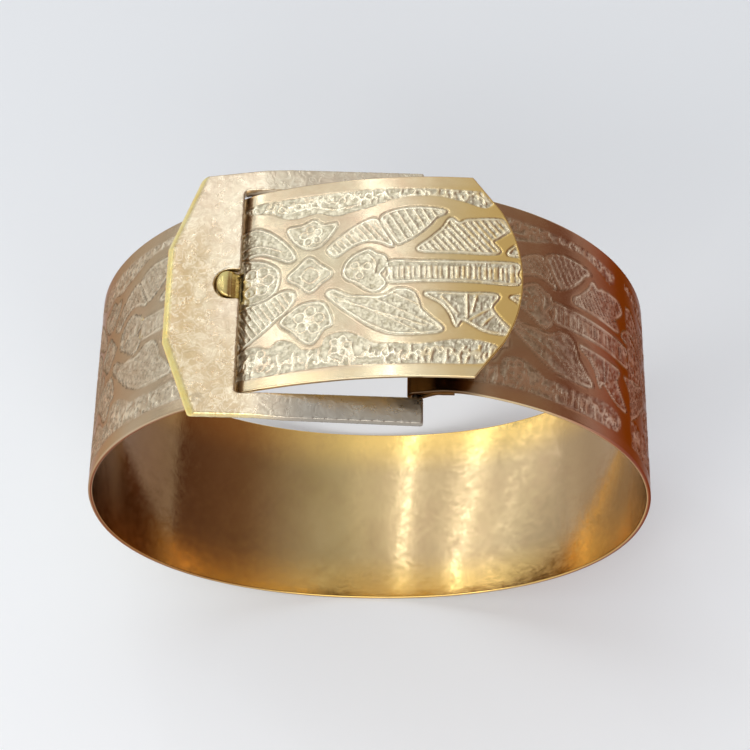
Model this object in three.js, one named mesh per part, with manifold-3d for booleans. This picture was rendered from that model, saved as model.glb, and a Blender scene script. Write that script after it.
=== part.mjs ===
// A belt-buckle bangle: one springy brass strap bent into a near-round loop. Its fixed end is folded round the
// crossbar of a flat buckle frame, and its free end runs under the frame's plain bar, up through the window and
// out over the fixed end as a shaped tip. A sprung tooth on the strap sits in a notch of the bar and locks it.
//
// Millimetres. X runs across the loop, Y along the wrist, Z up. The loop stands on its back with the buckle on
// top, and the origin is on the surface that it stands on. Heights in the code below are measured from the
// loop's centre until the last section lifts the whole group.
import * as THREE from "three";
import { mergeVertices } from "three/addons/utils/BufferGeometryUtils.js";
import Module from "manifold-3d";

const wasm = await Module();
wasm.setup();

// ---- Driving dimensions ---------------------------------------------------------------------------------------

// The loop: an ellipse over a slightly flattened lower half, which is what lets it stand.
const loopHalfWidth = 32.6;
const loopRise = 32.5;
const loopDrop = 30.5;
const upperRoundness = 2;
const lowerRoundness = 2.15;
const footHalf = 2.5;

const strapWidth = 23.6;
const strapThickness = 0.5;

// The frame is one bent plate: a plain bar, then two side arms that slope back a little.
const frameThickness = 0.9;
const barLeft = -21.9;
const bendX = -11.7;
const armEnd = 5.3;
const barLeftHeight = 29.6;
const bendHeight = 30.8;
const armEndHeight = 30.2;
const barLeftHalf = 5.6;
const cornerX = -18.7;
const cornerHalf = 14.2;
const armRootX = -9;
const armRootHalf = 14.85;
const armEndHalf = 15.0;
const windowLeft = -13.95;
const windowHalf = 12.05;
const windowFarHalf = 12.3;
const windowCorner = 0.6;
const notchRadius = 1.75;
const notchCentreX = -14.95;
const notchMouthRadius = 0.35;

// The notch and the whole catch lie a little to the far side of the middle.
const catchY = 0.8;

// The crossbar is a round pin let into the arms' inner edges.
const pinX = 4.55;
const pinRadius = 0.32;
const pinSocketDepth = 0.8;
const pinSocketGap = 0.04;
const loopGap = 0.06;

// The fixed end's fold and the rivets that hold it.
const foldEnd = 8.5;
const foldGap = 0.06;
const foldJoin = 9.6;
const foldLift = 0.16;
const foldSlope = 0.02;
const foldTurnStart = -0.42 * Math.PI;
const foldTurnSweep = 1.12 * Math.PI;
const foldLayerStep = 1.1;
const foldLayerEnd = 2;
const foldLayerDip = 0.06;
const foldOuterStart = 1.8;
const foldOuterEnd = 0.6;
const foldOuterDip = 0.05;
const foldJoinLap = 0.4;
const foldRivetX = 7.4;
const foldRivetSpread = 7.5;

// Where the free end leaves the loop, and its tip.
const leaveX = -20.2;
const tipCornerX = 10.35;
const tipShoulder = new THREE.Vector2(13.3, 7.8);
const tipApexX = 15.4;
const tipArcRadius = 15.5;

// The catch: a tooth on a leaf spring inside the strap.
const toothRadius = 1.58;
const toothLeft = -16.5;
const toothRight = -14.1;
const toothCrest = new THREE.Vector2(-15.7, 30.78);
const slotSideGap = 0.14;
const slotLeftGap = 0.2;
const slotRightGap = 0.6;
const slotReach = 1.4;
const leafThickness = 0.28;
const leafWidth = 4.2;
const leafGap = 0.15;
const leafLength = 15;
const leafRootMargin = 1;
const leafRivetSpread = 1.15;
const leafPastTooth = 0.5;

// Rivets, the same size throughout.
const rivetRadius = 0.42;
const rivetHeadRadius = 0.78;
const rivetHeadHeight = 0.32;
const rivetHoleGap = 0.05;
const rivetSeatGap = 0.06;
const rivetSlack = 0.1;
const rivetHoleReach = 1.5;

// Heights that clear everything near the buckle, for cutting slabs.
const wellBelow = 24;
const wellAbove = 37;
const tipTrimLow = 32.3;

const loopSteps = 104;
const roundSides = 20;

const brass = { colour: 0xb59a62, roughness: 0.38, metalness: 1 };
const paleBrass = { colour: 0xcbb890, roughness: 0.32, metalness: 1 };
const brightBrass = { colour: 0xc4ac4e, roughness: 0.22, metalness: 1 };
const springSteel = { colour: 0x8d8a84, roughness: 0.35, metalness: 1 };

// ---- Solids from three.js geometry ----------------------------------------------------------------------------

function solidOf(geometry) {
  const bare = geometry.clone();
  bare.deleteAttribute("normal");
  bare.deleteAttribute("uv");
  const merged = mergeVertices(bare, 1e-4);
  return new wasm.Manifold(
    new wasm.Mesh({
      numProp: 3,
      vertProperties: new Float32Array(merged.attributes.position.array),
      triVerts: new Uint32Array(merged.index.array),
    }),
  );
}

function geometryOf(solid) {
  const mesh = solid.getMesh();
  const geometry = new THREE.BufferGeometry();
  geometry.setAttribute("position", new THREE.BufferAttribute(mesh.vertProperties, mesh.numProp));
  geometry.setIndex(new THREE.BufferAttribute(mesh.triVerts, 1));
  geometry.computeVertexNormals();
  return geometry;
}

// A side outline in X and Z, given as Vector2 points, made solid across Y and centred on y.
function slabAcross(outline, width, y = 0) {
  const geometry = new THREE.ExtrudeGeometry(new THREE.Shape(outline), {
    depth: width,
    bevelEnabled: false,
    steps: 1,
  });
  geometry.rotateX(Math.PI / 2);
  geometry.translate(0, y + width / 2, 0);
  return solidOf(geometry);
}

// A plan outline in X and Y, a THREE.Shape, made solid from low to high in Z.
function slabUp(shape, low, high) {
  const geometry = new THREE.ExtrudeGeometry(shape, {
    depth: high - low,
    bevelEnabled: false,
    curveSegments: 14,
    steps: 1,
  });
  geometry.translate(0, 0, low);
  return solidOf(geometry);
}

// A cylinder from one point along a direction.
function rod(start, direction, length, radius, sides = roundSides) {
  const geometry = new THREE.CylinderGeometry(radius, radius, length, sides);
  geometry.translate(0, length / 2, 0);
  const turn = new THREE.Quaternion().setFromUnitVectors(
    new THREE.Vector3(0, 1, 0),
    direction.clone().normalize(),
  );
  geometry.applyQuaternion(turn);
  geometry.translate(start.x, start.y, start.z);
  return solidOf(geometry);
}

// ---- The strap's middle line, in X and Z ------------------------------------------------------------------------

const V = (x, z) => new THREE.Vector2(x, z);

// A point of the loop's outer surface, at an angle from +X towards +Z.
function loopPoint(angle) {
  const c = Math.cos(angle);
  const s = Math.sin(angle);
  const upper = s >= 0;
  const power = 2 / (upper ? upperRoundness : lowerRoundness);
  const height = upper ? loopRise : loopDrop;
  return V(
    loopHalfWidth * Math.sign(c) * Math.abs(c) ** power,
    height * Math.sign(s) * Math.abs(s) ** power,
  );
}

// Unit normals of an open line, on its left-hand side.
function normalsOf(points) {
  return points.map((_, i) => {
    const before = points[Math.max(0, i - 1)];
    const after = points[Math.min(points.length - 1, i + 1)];
    const along = after.clone().sub(before).normalize();
    return V(-along.y, along.x);
  });
}

// The line moved sideways by a distance, towards its left-hand side.
function shifted(points, distance) {
  const normals = normalsOf(points);
  return points.map((p, i) => p.clone().addScaledVector(normals[i], distance));
}

// A closed outline of a strip that lies between two distances from a line.
function stripOutline(points, from, to) {
  return [...shifted(points, from), ...shifted(points, to).reverse()];
}

const half = strapThickness / 2;
const upperAngleAt = (x) => Math.acos(x / loopHalfWidth);
const surfaceHeight = (x) => loopPoint(upperAngleAt(x)).y;

const pinHeight =
  bendHeight +
  ((armEndHeight - bendHeight) * (pinX - bendX)) / (armEnd - bendX) -
  frameThickness / 2;
const pin = V(pinX, pinHeight);
const foldRadius = pinRadius + loopGap + half;

// The fold: the short inner layer, half a turn round the pin, and the outer layer up to the loop.
function foldLine() {
  const innerDrop = strapThickness + foldGap;
  const outerAt = (x) => V(x, surfaceHeight(foldJoin) + foldLift - (foldJoin - x) * foldSlope - half);
  const line = [
    outerAt(foldEnd).add(V(0, -innerDrop)),
    outerAt(foldEnd - foldLayerStep).add(V(0, -innerDrop)),
    outerAt(foldEnd - foldLayerEnd).add(V(0, -innerDrop - foldLayerDip)),
  ];
  const turnSteps = 16;
  for (let i = 0; i <= turnSteps; i++) {
    const angle = foldTurnStart - (foldTurnSweep * i) / turnSteps;
    line.push(V(pin.x + foldRadius * Math.cos(angle), pin.y + foldRadius * Math.sin(angle)));
  }
  const outer = new THREE.SplineCurve([
    line[line.length - 1],
    outerAt(foldEnd - foldOuterStart).add(V(0, -foldOuterDip)),
    outerAt(foldEnd - foldOuterEnd),
    V(foldJoin + foldJoinLap, surfaceHeight(foldJoin + foldJoinLap) - half - 0.02),
  ]);
  return [...line, ...outer.getPoints(12).slice(1, -1)];
}

// The loop itself, from the fold clockwise round to where the free end leaves it, with a flat foot at the bottom.
const loopStart = upperAngleAt(foldJoin + 0.9);
const loopFinish = upperAngleAt(leaveX) - 2 * Math.PI;
function loopLine() {
  const outer = [];
  for (let i = 0; i <= loopSteps; i++) {
    outer.push(loopPoint(loopStart + ((loopFinish - loopStart) * i) / loopSteps));
  }
  const onFoot = (p) => p.y < 0 && Math.abs(p.x) < footHalf;
  const right = outer.slice(0, outer.findIndex(onFoot));
  const left = outer.slice(right.length).filter((p) => !onFoot(p));
  const foot = [V(footHalf, -loopDrop), V(-footHalf, -loopDrop)];
  return shifted([...right, ...foot, ...left], -half);
}

// The free end, which leaves the loop and runs on over the buckle as a flatter curve through chosen points.
const loopPoints = loopLine();
function freeLine() {
  const last = loopPoints[loopPoints.length - 1];
  const surface = new THREE.SplineCurve([
    loopPoints[loopPoints.length - 3],
    last,
    V(-17, 27.15),
    V(-13.95, 29.15),
    V(-13, 29.9),
    V(-11.9, 30.5),
    V(-10.3, 31.1),
    V(-7.2, 32.15),
    V(-1.4, 33.6),
    V(4.8, 34.3),
    V(10.4, 34.25),
    V(16.2, 33.75),
  ]);
  return surface.getPoints(54).filter((p) => p.x > last.x + 0.3);
}

const foldPoints = foldLine();
const freePoints = freeLine();
const strapLine = [...foldPoints, ...loopPoints, ...freePoints];

// Where the strap's middle line is at an X on its free end, with its outward normal.
function freeEndAt(x) {
  const line = [...loopPoints.slice(-20), ...freePoints];
  const normals = normalsOf(line);
  const i = line.findIndex((p, k) => k > 0 && p.x >= x);
  const share = (x - line[i - 1].x) / (line[i].x - line[i - 1].x);
  return {
    point: line[i - 1].clone().lerp(line[i], share),
    normal: normals[i - 1].clone().lerp(normals[i], share).normalize(),
  };
}

// ---- The tooth and the slot that it works in ----------------------------------------------------------------------

const toothSeat = freeEndAt((toothLeft + toothRight) / 2);
const towardsTip = V(toothSeat.normal.y, -toothSeat.normal.x);
const leafOuter = -(half + leafGap);
const toothFootSink = 0.02;
const heelRise = 0.1;

// The point of the free end's line under an X, moved out along the normal.
function overStrap(x, distance) {
  const { point, normal } = freeEndAt(x);
  return point.clone().addScaledVector(normal, distance);
}

function toothSolid() {
  const footRight = overStrap(toothRight, leafOuter + toothFootSink);
  const footLeft = overStrap(toothLeft + 0.55, leafOuter + toothFootSink);
  const heel = overStrap(toothRight, half + heelRise);
  const ridge = new THREE.SplineCurve([
    V(toothLeft, toothCrest.y - 0.42),
    V(toothLeft + 0.28, toothCrest.y - 0.1),
    toothCrest,
    V(toothCrest.x + 0.85, toothCrest.y - 0.2),
    V(toothRight - 0.25, heel.y + 0.3),
    heel,
  ]);
  const side = [
    footLeft,
    footRight,
    ...ridge.getPoints(18).reverse(),
    V(toothLeft, overStrap(toothLeft, half).y),
  ];
  const plan = new THREE.Shape();
  const centre = toothLeft + toothRadius;
  plan.absarc(centre, catchY, toothRadius, Math.PI / 2, (3 * Math.PI) / 2, false);
  plan.lineTo(toothRight + toothRadius, catchY - toothRadius);
  plan.lineTo(toothRight + toothRadius, catchY + toothRadius);
  return slabAcross(side, 2 * toothRadius, catchY).intersect(slabUp(plan, wellBelow, wellAbove));
}

function slotSolid() {
  const alongLeft = overStrap(toothLeft, 0).sub(toothSeat.point).dot(towardsTip) - slotLeftGap;
  const alongRight = overStrap(toothRight, 0).sub(toothSeat.point).dot(towardsTip) + slotRightGap;
  const corner = (along, out) =>
    toothSeat.point.clone().addScaledVector(towardsTip, along).addScaledVector(toothSeat.normal, out);
  const side = [
    corner(alongLeft, -slotReach),
    corner(alongRight, -slotReach),
    corner(alongRight, slotReach),
    corner(alongLeft, slotReach),
  ];
  return slabAcross(side, 2 * (toothRadius + slotSideGap), catchY);
}

// ---- The leaf spring and its rivets -------------------------------------------------------------------------------

// The part of the strap's line that the leaf lies along, from its root up to just past the tooth.
function leafLine() {
  const line = [...loopPoints.slice(-30), ...freePoints];
  const end = line.findIndex((p) => p.x > toothRight + leafPastTooth);
  let length = 0;
  let start = end;
  while (length < leafLength) {
    length += line[start].distanceTo(line[start - 1]);
    start -= 1;
  }
  return line.slice(start, end + 1);
}

const leafPath = leafLine();
const leafMiddle = leafOuter - leafThickness / 2;
const leafNormals = normalsOf(leafPath);
const leafRoot = (() => {
  const along = leafPath[1].clone().sub(leafPath[0]).normalize();
  return {
    point: leafPath[0].clone().addScaledVector(along, leafRootMargin),
    normal: leafNormals[0].clone().lerp(leafNormals[1], 0.5).normalize(),
  };
})();

const up3 = (v) => new THREE.Vector3(v.x, 0, v.y);
const at3 = (v, y) => new THREE.Vector3(v.x, y, v.y);

// A rivet along a normal: shank and one or two flat heads, given as distances out from a point.
function rivetSolid(point, normal, y, low, high, lowHead, highHead) {
  const along = (d) => at3(point.clone().addScaledVector(normal, d), y);
  let solid = rod(along(low), up3(normal), high - low, rivetRadius);
  if (lowHead) {
    solid = solid.add(rod(along(low - rivetHeadHeight), up3(normal), rivetHeadHeight, rivetHeadRadius));
  }
  if (highHead) {
    solid = solid.add(rod(along(high), up3(normal), rivetHeadHeight, rivetHeadRadius));
  }
  return solid;
}

function rivetHole(point, normal, y, reach) {
  const start = at3(point.clone().addScaledVector(normal, -reach), y);
  return rod(start, up3(normal), 2 * reach, rivetRadius + rivetHoleGap);
}

const leafRivetYs = [catchY - leafRivetSpread, catchY + leafRivetSpread];
const foldRivetYs = [-foldRivetSpread, 0, foldRivetSpread];

// The middle of the fold's two layers at the rivets, and its outward normal.
const foldSeat = (() => {
  const outer = foldPoints.slice(-12);
  const i = outer.findIndex((p) => p.x >= foldRivetX);
  const along = outer[i].clone().sub(outer[i - 1]).normalize();
  return { point: V(foldRivetX, outer[i].y), normal: V(-along.y, along.x) };
})();

const foldRivets = foldRivetYs.map((y) =>
  rivetSolid(
    foldSeat.point,
    foldSeat.normal,
    y,
    -(half + foldGap + strapThickness + rivetSeatGap + rivetSlack),
    half + rivetSeatGap,
    true,
    true,
  ),
);
const leafRivets = leafRivetYs.map((y) =>
  rivetSolid(
    leafRoot.point,
    leafRoot.normal,
    y,
    leafMiddle - leafThickness / 2 - rivetSeatGap - 0.06,
    half - 0.02,
    true,
    false,
  ),
);

function leafSolid() {
  const outline = stripOutline(leafPath, leafMiddle - leafThickness / 2, leafMiddle + leafThickness / 2);
  let solid = slabAcross(outline.reverse(), leafWidth, catchY);
  for (const y of leafRivetYs) {
    solid = solid.subtract(rivetHole(leafRoot.point, leafRoot.normal, y, rivetHoleReach));
  }
  return solid;
}

// ---- The strap ------------------------------------------------------------------------------------------------------

// What lies outside the tip's plan outline, above the fixed end.
function tipTrim() {
  const wide = strapWidth / 2 + 1;
  const outside = new THREE.Shape([
    V(tipCornerX - 1, -wide),
    V(tipApexX + 3, -wide),
    V(tipApexX + 3, wide),
    V(tipCornerX - 1, wide),
  ]);
  const inside = new THREE.Shape();
  inside.moveTo(tipCornerX - 2, -strapWidth / 2 - 2);
  inside.lineTo(tipCornerX - 1.4, -strapWidth / 2 - 2);
  inside.lineTo(tipShoulder.x, -tipShoulder.y);
  const centre = tipApexX - tipArcRadius;
  const sweep = Math.asin(tipShoulder.y / tipArcRadius);
  inside.absarc(centre, 0, tipArcRadius, -sweep, sweep, false);
  inside.lineTo(tipCornerX - 1.4, strapWidth / 2 + 2);
  inside.lineTo(tipCornerX - 2, strapWidth / 2 + 2);
  return slabUp(outside, tipTrimLow, wellAbove).subtract(slabUp(inside, tipTrimLow - 1, wellAbove + 1));
}

function strapSolid() {
  const outline = stripOutline(strapLine, -half, half);
  let solid = slabAcross(outline.reverse(), strapWidth).subtract(tipTrim()).subtract(slotSolid());
  for (const y of leafRivetYs) {
    solid = solid.subtract(rivetHole(leafRoot.point, leafRoot.normal, y, rivetHoleReach));
  }
  for (const y of foldRivetYs) {
    solid = solid.subtract(rivetHole(foldSeat.point, foldSeat.normal, y, rivetHoleReach));
  }
  return solid;
}

// ---- The frame and its crossbar ---------------------------------------------------------------------------------------

function framePlan() {
  const shape = new THREE.Shape();
  shape.moveTo(barLeft, -barLeftHalf);
  shape.lineTo(cornerX, -cornerHalf);
  shape.lineTo(armRootX, -armRootHalf);
  shape.lineTo(armEnd, -armEndHalf);
  shape.lineTo(armEnd, -windowHalf);
  shape.lineTo(windowLeft + windowCorner, -windowHalf);
  shape.quadraticCurveTo(windowLeft, -windowHalf, windowLeft, -windowHalf + windowCorner);
  const notchLow = catchY - notchRadius;
  const notchHigh = catchY + notchRadius;
  shape.lineTo(windowLeft, notchLow - notchMouthRadius);
  shape.quadraticCurveTo(windowLeft, notchLow, windowLeft - notchMouthRadius, notchLow);
  shape.lineTo(notchCentreX, notchLow);
  shape.absarc(notchCentreX, catchY, notchRadius, -Math.PI / 2, Math.PI / 2, true);
  shape.lineTo(windowLeft - notchMouthRadius, notchHigh);
  shape.quadraticCurveTo(windowLeft, notchHigh, windowLeft, notchHigh + notchMouthRadius);
  shape.lineTo(windowLeft, windowFarHalf - windowCorner);
  shape.quadraticCurveTo(windowLeft, windowFarHalf, windowLeft + windowCorner, windowFarHalf);
  shape.lineTo(armEnd, windowHalf);
  shape.lineTo(armEnd, armEndHalf);
  shape.lineTo(armRootX, armRootHalf);
  shape.lineTo(cornerX, cornerHalf);
  shape.lineTo(barLeft, barLeftHalf);
  return shape;
}

function frameSolid() {
  const reach = 1;
  const slopeLeft = (bendHeight - barLeftHeight) / (bendX - barLeft);
  const slopeRight = (armEndHeight - bendHeight) / (armEnd - bendX);
  const top = [
    V(barLeft - reach, barLeftHeight - reach * slopeLeft),
    V(bendX, bendHeight),
    V(armEnd + reach, armEndHeight + reach * slopeRight),
  ];
  const side = [...top.map((p) => V(p.x, p.y - frameThickness)), ...top.slice().reverse()];
  const plate = slabAcross(side, 4 * strapWidth).intersect(slabUp(framePlan(), wellBelow, wellAbove));
  const socket = (sign) =>
    rod(
      new THREE.Vector3(pin.x, sign * (windowHalf - 0.5), pin.y),
      new THREE.Vector3(0, sign, 0),
      0.5 + pinSocketDepth + pinSocketGap,
      pinRadius + pinSocketGap,
    );
  return plate.subtract(socket(1)).subtract(socket(-1));
}

function pinSolid() {
  const reach = windowHalf + pinSocketDepth;
  return rod(new THREE.Vector3(pin.x, -reach, pin.y), new THREE.Vector3(0, 1, 0), 2 * reach, pinRadius);
}

// ---- Assembly -----------------------------------------------------------------------------------------------------------

const group = new THREE.Group();
group.position.z = loopDrop;

function addPart(name, solid, finish) {
  const material = new THREE.MeshStandardMaterial({
    color: finish.colour,
    roughness: finish.roughness,
    metalness: finish.metalness,
  });
  const mesh = new THREE.Mesh(geometryOf(solid), material);
  mesh.name = name;
  group.add(mesh);
}

addPart("strap", strapSolid(), brass);
addPart("buckle_frame", frameSolid(), paleBrass);
addPart("crossbar_pin", pinSolid(), springSteel);
addPart("catch_tooth", toothSolid(), brightBrass);
addPart("catch_leaf_spring", leafSolid(), springSteel);
leafRivets.forEach((solid, i) => addPart(`leaf_rivet_${i + 1}`, solid, brass));
foldRivets.forEach((solid, i) => addPart(`fold_rivet_${i + 1}`, solid, brass));

export default group;
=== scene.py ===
# The looks of the buckle bangle: an engraved brass strap, its buckle frame, the sprung catch and the
# small metal parts, with a pale floor, soft studio light and a camera. Lengths are in millimetres
# until a mesh is made.
import math

import bpy
import numpy as np
from mathutils import Matrix, Vector
from mathutils.geometry import delaunay_2d_cdt


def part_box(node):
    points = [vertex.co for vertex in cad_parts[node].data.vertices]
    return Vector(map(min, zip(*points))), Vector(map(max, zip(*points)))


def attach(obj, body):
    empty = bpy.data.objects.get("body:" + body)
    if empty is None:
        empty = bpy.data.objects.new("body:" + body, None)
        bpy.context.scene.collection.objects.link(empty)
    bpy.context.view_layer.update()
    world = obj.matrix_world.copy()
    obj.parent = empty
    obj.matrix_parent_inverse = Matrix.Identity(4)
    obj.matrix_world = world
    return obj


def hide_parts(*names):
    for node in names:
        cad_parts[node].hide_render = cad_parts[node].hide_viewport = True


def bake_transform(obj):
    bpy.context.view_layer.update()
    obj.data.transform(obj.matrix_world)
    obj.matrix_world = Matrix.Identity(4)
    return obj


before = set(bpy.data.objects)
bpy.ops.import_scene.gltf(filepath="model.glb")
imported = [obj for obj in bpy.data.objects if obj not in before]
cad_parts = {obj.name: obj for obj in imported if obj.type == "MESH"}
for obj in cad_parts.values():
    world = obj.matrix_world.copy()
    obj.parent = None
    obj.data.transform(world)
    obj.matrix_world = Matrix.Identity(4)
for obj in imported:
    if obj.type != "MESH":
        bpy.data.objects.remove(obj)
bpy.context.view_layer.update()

MM = 0.001


def box_mm(node):
    """The lowest and highest corners of a CAD node, in millimetres."""
    low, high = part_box(node)
    return np.array(low) / MM, np.array(high) / MM


strap_high = box_mm("strap")[1]
frame_low, frame_high = box_mm("buckle_frame")
pin_low, pin_high = box_mm("crossbar_pin")
tooth_low, tooth_high = box_mm("catch_tooth")

# ---- Driving dimensions ----
# They follow the part's source. The window's far corner is 0.08 mm tighter here, and the slot's ends
# are given by their X on the strap's middle line.

LOOP_HALF_WIDTH, LOOP_RISE, LOOP_DROP = 32.6, 32.5, 30.5
UPPER_ROUNDNESS, LOWER_ROUNDNESS = 2.0, 2.15
STRAP_HALF = strap_high[1]
THICKNESS = 0.5
HALF = THICKNESS / 2
PIN = (pin_low + pin_high) / 2 - (0, 0, LOOP_DROP)
PIN_RADIUS = (pin_high[2] - pin_low[2]) / 2
FOLD_END, FOLD_JOIN, FOLD_GAP, LOOP_GAP = 8.5, 9.6, 0.06, 0.06
FOLD_LIFT, FOLD_SLOPE, FOLD_JOIN_LAP, FOLD_JOIN_DROP = 0.16, 0.02, 0.4, 0.02
FOLD_TURN_START, FOLD_TURN_SWEEP = 0.42, 1.12
FOLD_LAYER_STEP, FOLD_LAYER_END, FOLD_LAYER_DIP = 1.1, 2, 0.06
FOLD_OUTER_START, FOLD_OUTER_END, FOLD_OUTER_DIP = 1.8, 0.6, 0.05
LEAVE_X = -20.2
FREE_END = [
    (-17, 27.15), (-13.95, 29.15), (-13, 29.9), (-11.9, 30.5), (-10.3, 31.1),
    (-7.2, 32.15), (-1.4, 33.6), (4.8, 34.3), (10.4, 34.25), (16.2, 33.75),
]
TIP_CORNER_X, TIP_SHOULDER, TIP_APEX_X, TIP_ARC_RADIUS = 10.35, (13.3, 7.8), 15.4, 15.5
WINDOW_LEFT, WINDOW_HALF, WINDOW_FAR_HALF, WINDOW_CORNER = -13.95, 12.05, 12.22, 0.6
NOTCH_RADIUS, NOTCH_X, CATCH_Y = 1.75, -14.95, 0.8
SLOT_HALF, SLOT_LEFT_X, SLOT_RIGHT_X = 1.72, -16.68, -13.57


# ---- Small helpers ----


def catmull(points, count):
    """count + 1 points along the Catmull-Rom curve through the given points."""
    points = np.asarray(points, float)
    last = len(points) - 1
    t = np.linspace(0, last, count + 1)
    i = np.minimum(t.astype(int), last - 1)
    w = (t - i)[:, None]
    p0, p1, p2, p3 = (points[np.clip(i + k, 0, last)] for k in (-1, 0, 1, 2))
    v0, v1 = (p2 - p0) / 2, (p3 - p1) / 2
    return (2 * (p1 - p2) + v0 + v1) * w**3 + (3 * (p2 - p1) - 2 * v0 - v1) * w**2 + v0 * w + p1


def closed_curve(points, per_side=5):
    """A closed smooth outline through the points."""
    points = np.asarray(points, float)
    wrapped = np.vstack([points[-2:], points, points[:3]])
    curve = catmull(wrapped, (len(wrapped) - 1) * per_side)
    return curve[2 * per_side : (2 + len(points)) * per_side]


def smoothstep(x, low=0.0, high=1.0):
    t = np.clip((x - low) / (high - low), 0, 1)
    return t * t * (3 - 2 * t)


def segment_distance(x, y, a, b):
    dx, dy = b[0] - a[0], b[1] - a[1]
    t = np.clip(((x - a[0]) * dx + (y - a[1]) * dy) / (dx * dx + dy * dy + 1e-12), 0, 1)
    return np.hypot(x - a[0] - t * dx, y - a[1] - t * dy)


def line_distance(x, y, points):
    """Distance from an open line."""
    found = np.full(np.shape(x), 1e9)
    for a, b in zip(points[:-1], points[1:]):
        found = np.minimum(found, segment_distance(x, y, a, b))
    return found


def inside_distance(x, y, outline):
    """Distance from a closed outline, positive inside it."""
    found = np.full(np.shape(x), 1e9)
    inside = np.zeros(np.shape(x), bool)
    for a, b in zip(outline, np.roll(outline, -1, axis=0)):
        found = np.minimum(found, segment_distance(x, y, a, b))
        crosses = (a[1] > y) != (b[1] > y)
        if b[1] != a[1]:
            inside ^= crosses & (x < (b[0] - a[0]) * (y - a[1]) / (b[1] - a[1]) + a[0])
    return np.where(inside, found, -found)


def round_over(distance, radius):
    """How far a rounded edge has dropped at a distance in from it."""
    r = np.clip(radius - distance, 0, radius)
    return radius - np.sqrt(np.maximum(radius**2 - r**2, 0))


def new_mesh(name, points, faces, materials, face_slots=None):
    """An object from points in millimetres and faces as lists of point numbers."""
    mesh = bpy.data.meshes.new(name)
    mesh.from_pydata((np.asarray(points) * MM).tolist(), [], faces)
    for material in materials:
        mesh.materials.append(material)
    if face_slots is not None:
        mesh.polygons.foreach_set("material_index", np.asarray(face_slots, np.int32))
    mesh.polygons.foreach_set("use_smooth", np.ones(len(mesh.polygons), bool))
    mesh.update()
    mesh.validate()
    obj = bpy.data.objects.new(name, mesh)
    bpy.context.scene.collection.objects.link(obj)
    return obj


def point_attribute(obj, name, values):
    attribute = obj.data.attributes.new(name, "FLOAT", "POINT")
    attribute.data.foreach_set("value", np.asarray(values, np.float32))


def sharpen(obj, degrees):
    obj.data.set_sharp_from_angle(angle=math.radians(degrees))


# ---- Materials ----


class Graph:
    """A material's node tree, with short calls for the nodes used here."""

    def __init__(self, name):
        self.material = bpy.data.materials.new(name)
        self.material.use_nodes = True
        self.tree = self.material.node_tree
        self.shader = self.tree.nodes["Principled BSDF"]
        self.shader.inputs["Metallic"].default_value = 1.0
        self.place = self.tree.nodes.new("ShaderNodeTexCoord").outputs["Object"]

    def node(self, kind, links=(), **settings):
        made = self.tree.nodes.new("ShaderNode" + kind)
        for key, value in settings.items():
            setattr(made, key, value)
        for socket, value in links:
            self.put(made.inputs[socket], value)
        return made

    def put(self, socket, value):
        if isinstance(value, bpy.types.NodeSocket):
            self.tree.links.new(value, socket)
        else:
            socket.default_value = value

    def attribute(self, name):
        return self.node("Attribute", attribute_name=name).outputs["Fac"]

    def stretched(self, x, y, z):
        """The object coordinates, stretched so that a pattern runs along an axis."""
        return self.node("Mapping", [("Vector", self.place), ("Scale", (x, y, z))]).outputs[0]

    def noise(self, period_mm, detail=2.0, place=None, rough=0.5, distortion=0.0):
        links = [
            ("Vector", place or self.place),
            ("Scale", 1 / (period_mm * MM)),
            ("Detail", detail),
            ("Roughness", rough),
            ("Distortion", distortion),
        ]
        return self.node("TexNoise", links).outputs["Fac"]

    def ramp(self, value, low, high, out_low=0.0, out_high=1.0):
        links = [("Value", value), (1, low), (2, high), (3, out_low), (4, out_high)]
        return self.node("MapRange", links, clamp=True).outputs[0]

    def math(self, operation, a, b=0.0):
        return self.node("Math", [(0, a), (1, b)], operation=operation).outputs[0]

    def mix(self, share, a, b, blend="MIX"):
        made = self.node("Mix", data_type="RGBA", blend_type=blend)
        self.put(made.inputs["Factor"], share)
        for socket, value in (("A", a), ("B", b)):
            target = next(s for s in made.inputs if s.name == socket and s.type == "RGBA")
            self.put(target, value if isinstance(value, bpy.types.NodeSocket) else (*value, 1))
        return next(s for s in made.outputs if s.type == "RGBA")

    def tint(self, colour, strength):
        """A tint that deepens from white to the colour as the strength goes from 0 to 1."""
        return self.node("Gamma", [("Color", (*colour, 1)), ("Gamma", strength)]).outputs[0]

    def stained(self, colour, stain, strength):
        return self.mix(1.0, colour, self.tint(stain, strength), "MULTIPLY")

    def bump(self, height, depth_mm, strength=1.0, after=None):
        links = [("Height", height), ("Distance", depth_mm * MM), ("Strength", strength)]
        if after is not None:
            links.append(("Normal", after))
        return self.node("Bump", links).outputs[0]

    def finish(self, colour, roughness, normal):
        self.put(self.shader.inputs["Base Color"], colour)
        self.put(self.shader.inputs["Roughness"], roughness)
        self.put(self.shader.inputs["Normal"], normal)
        return self.material


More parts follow.
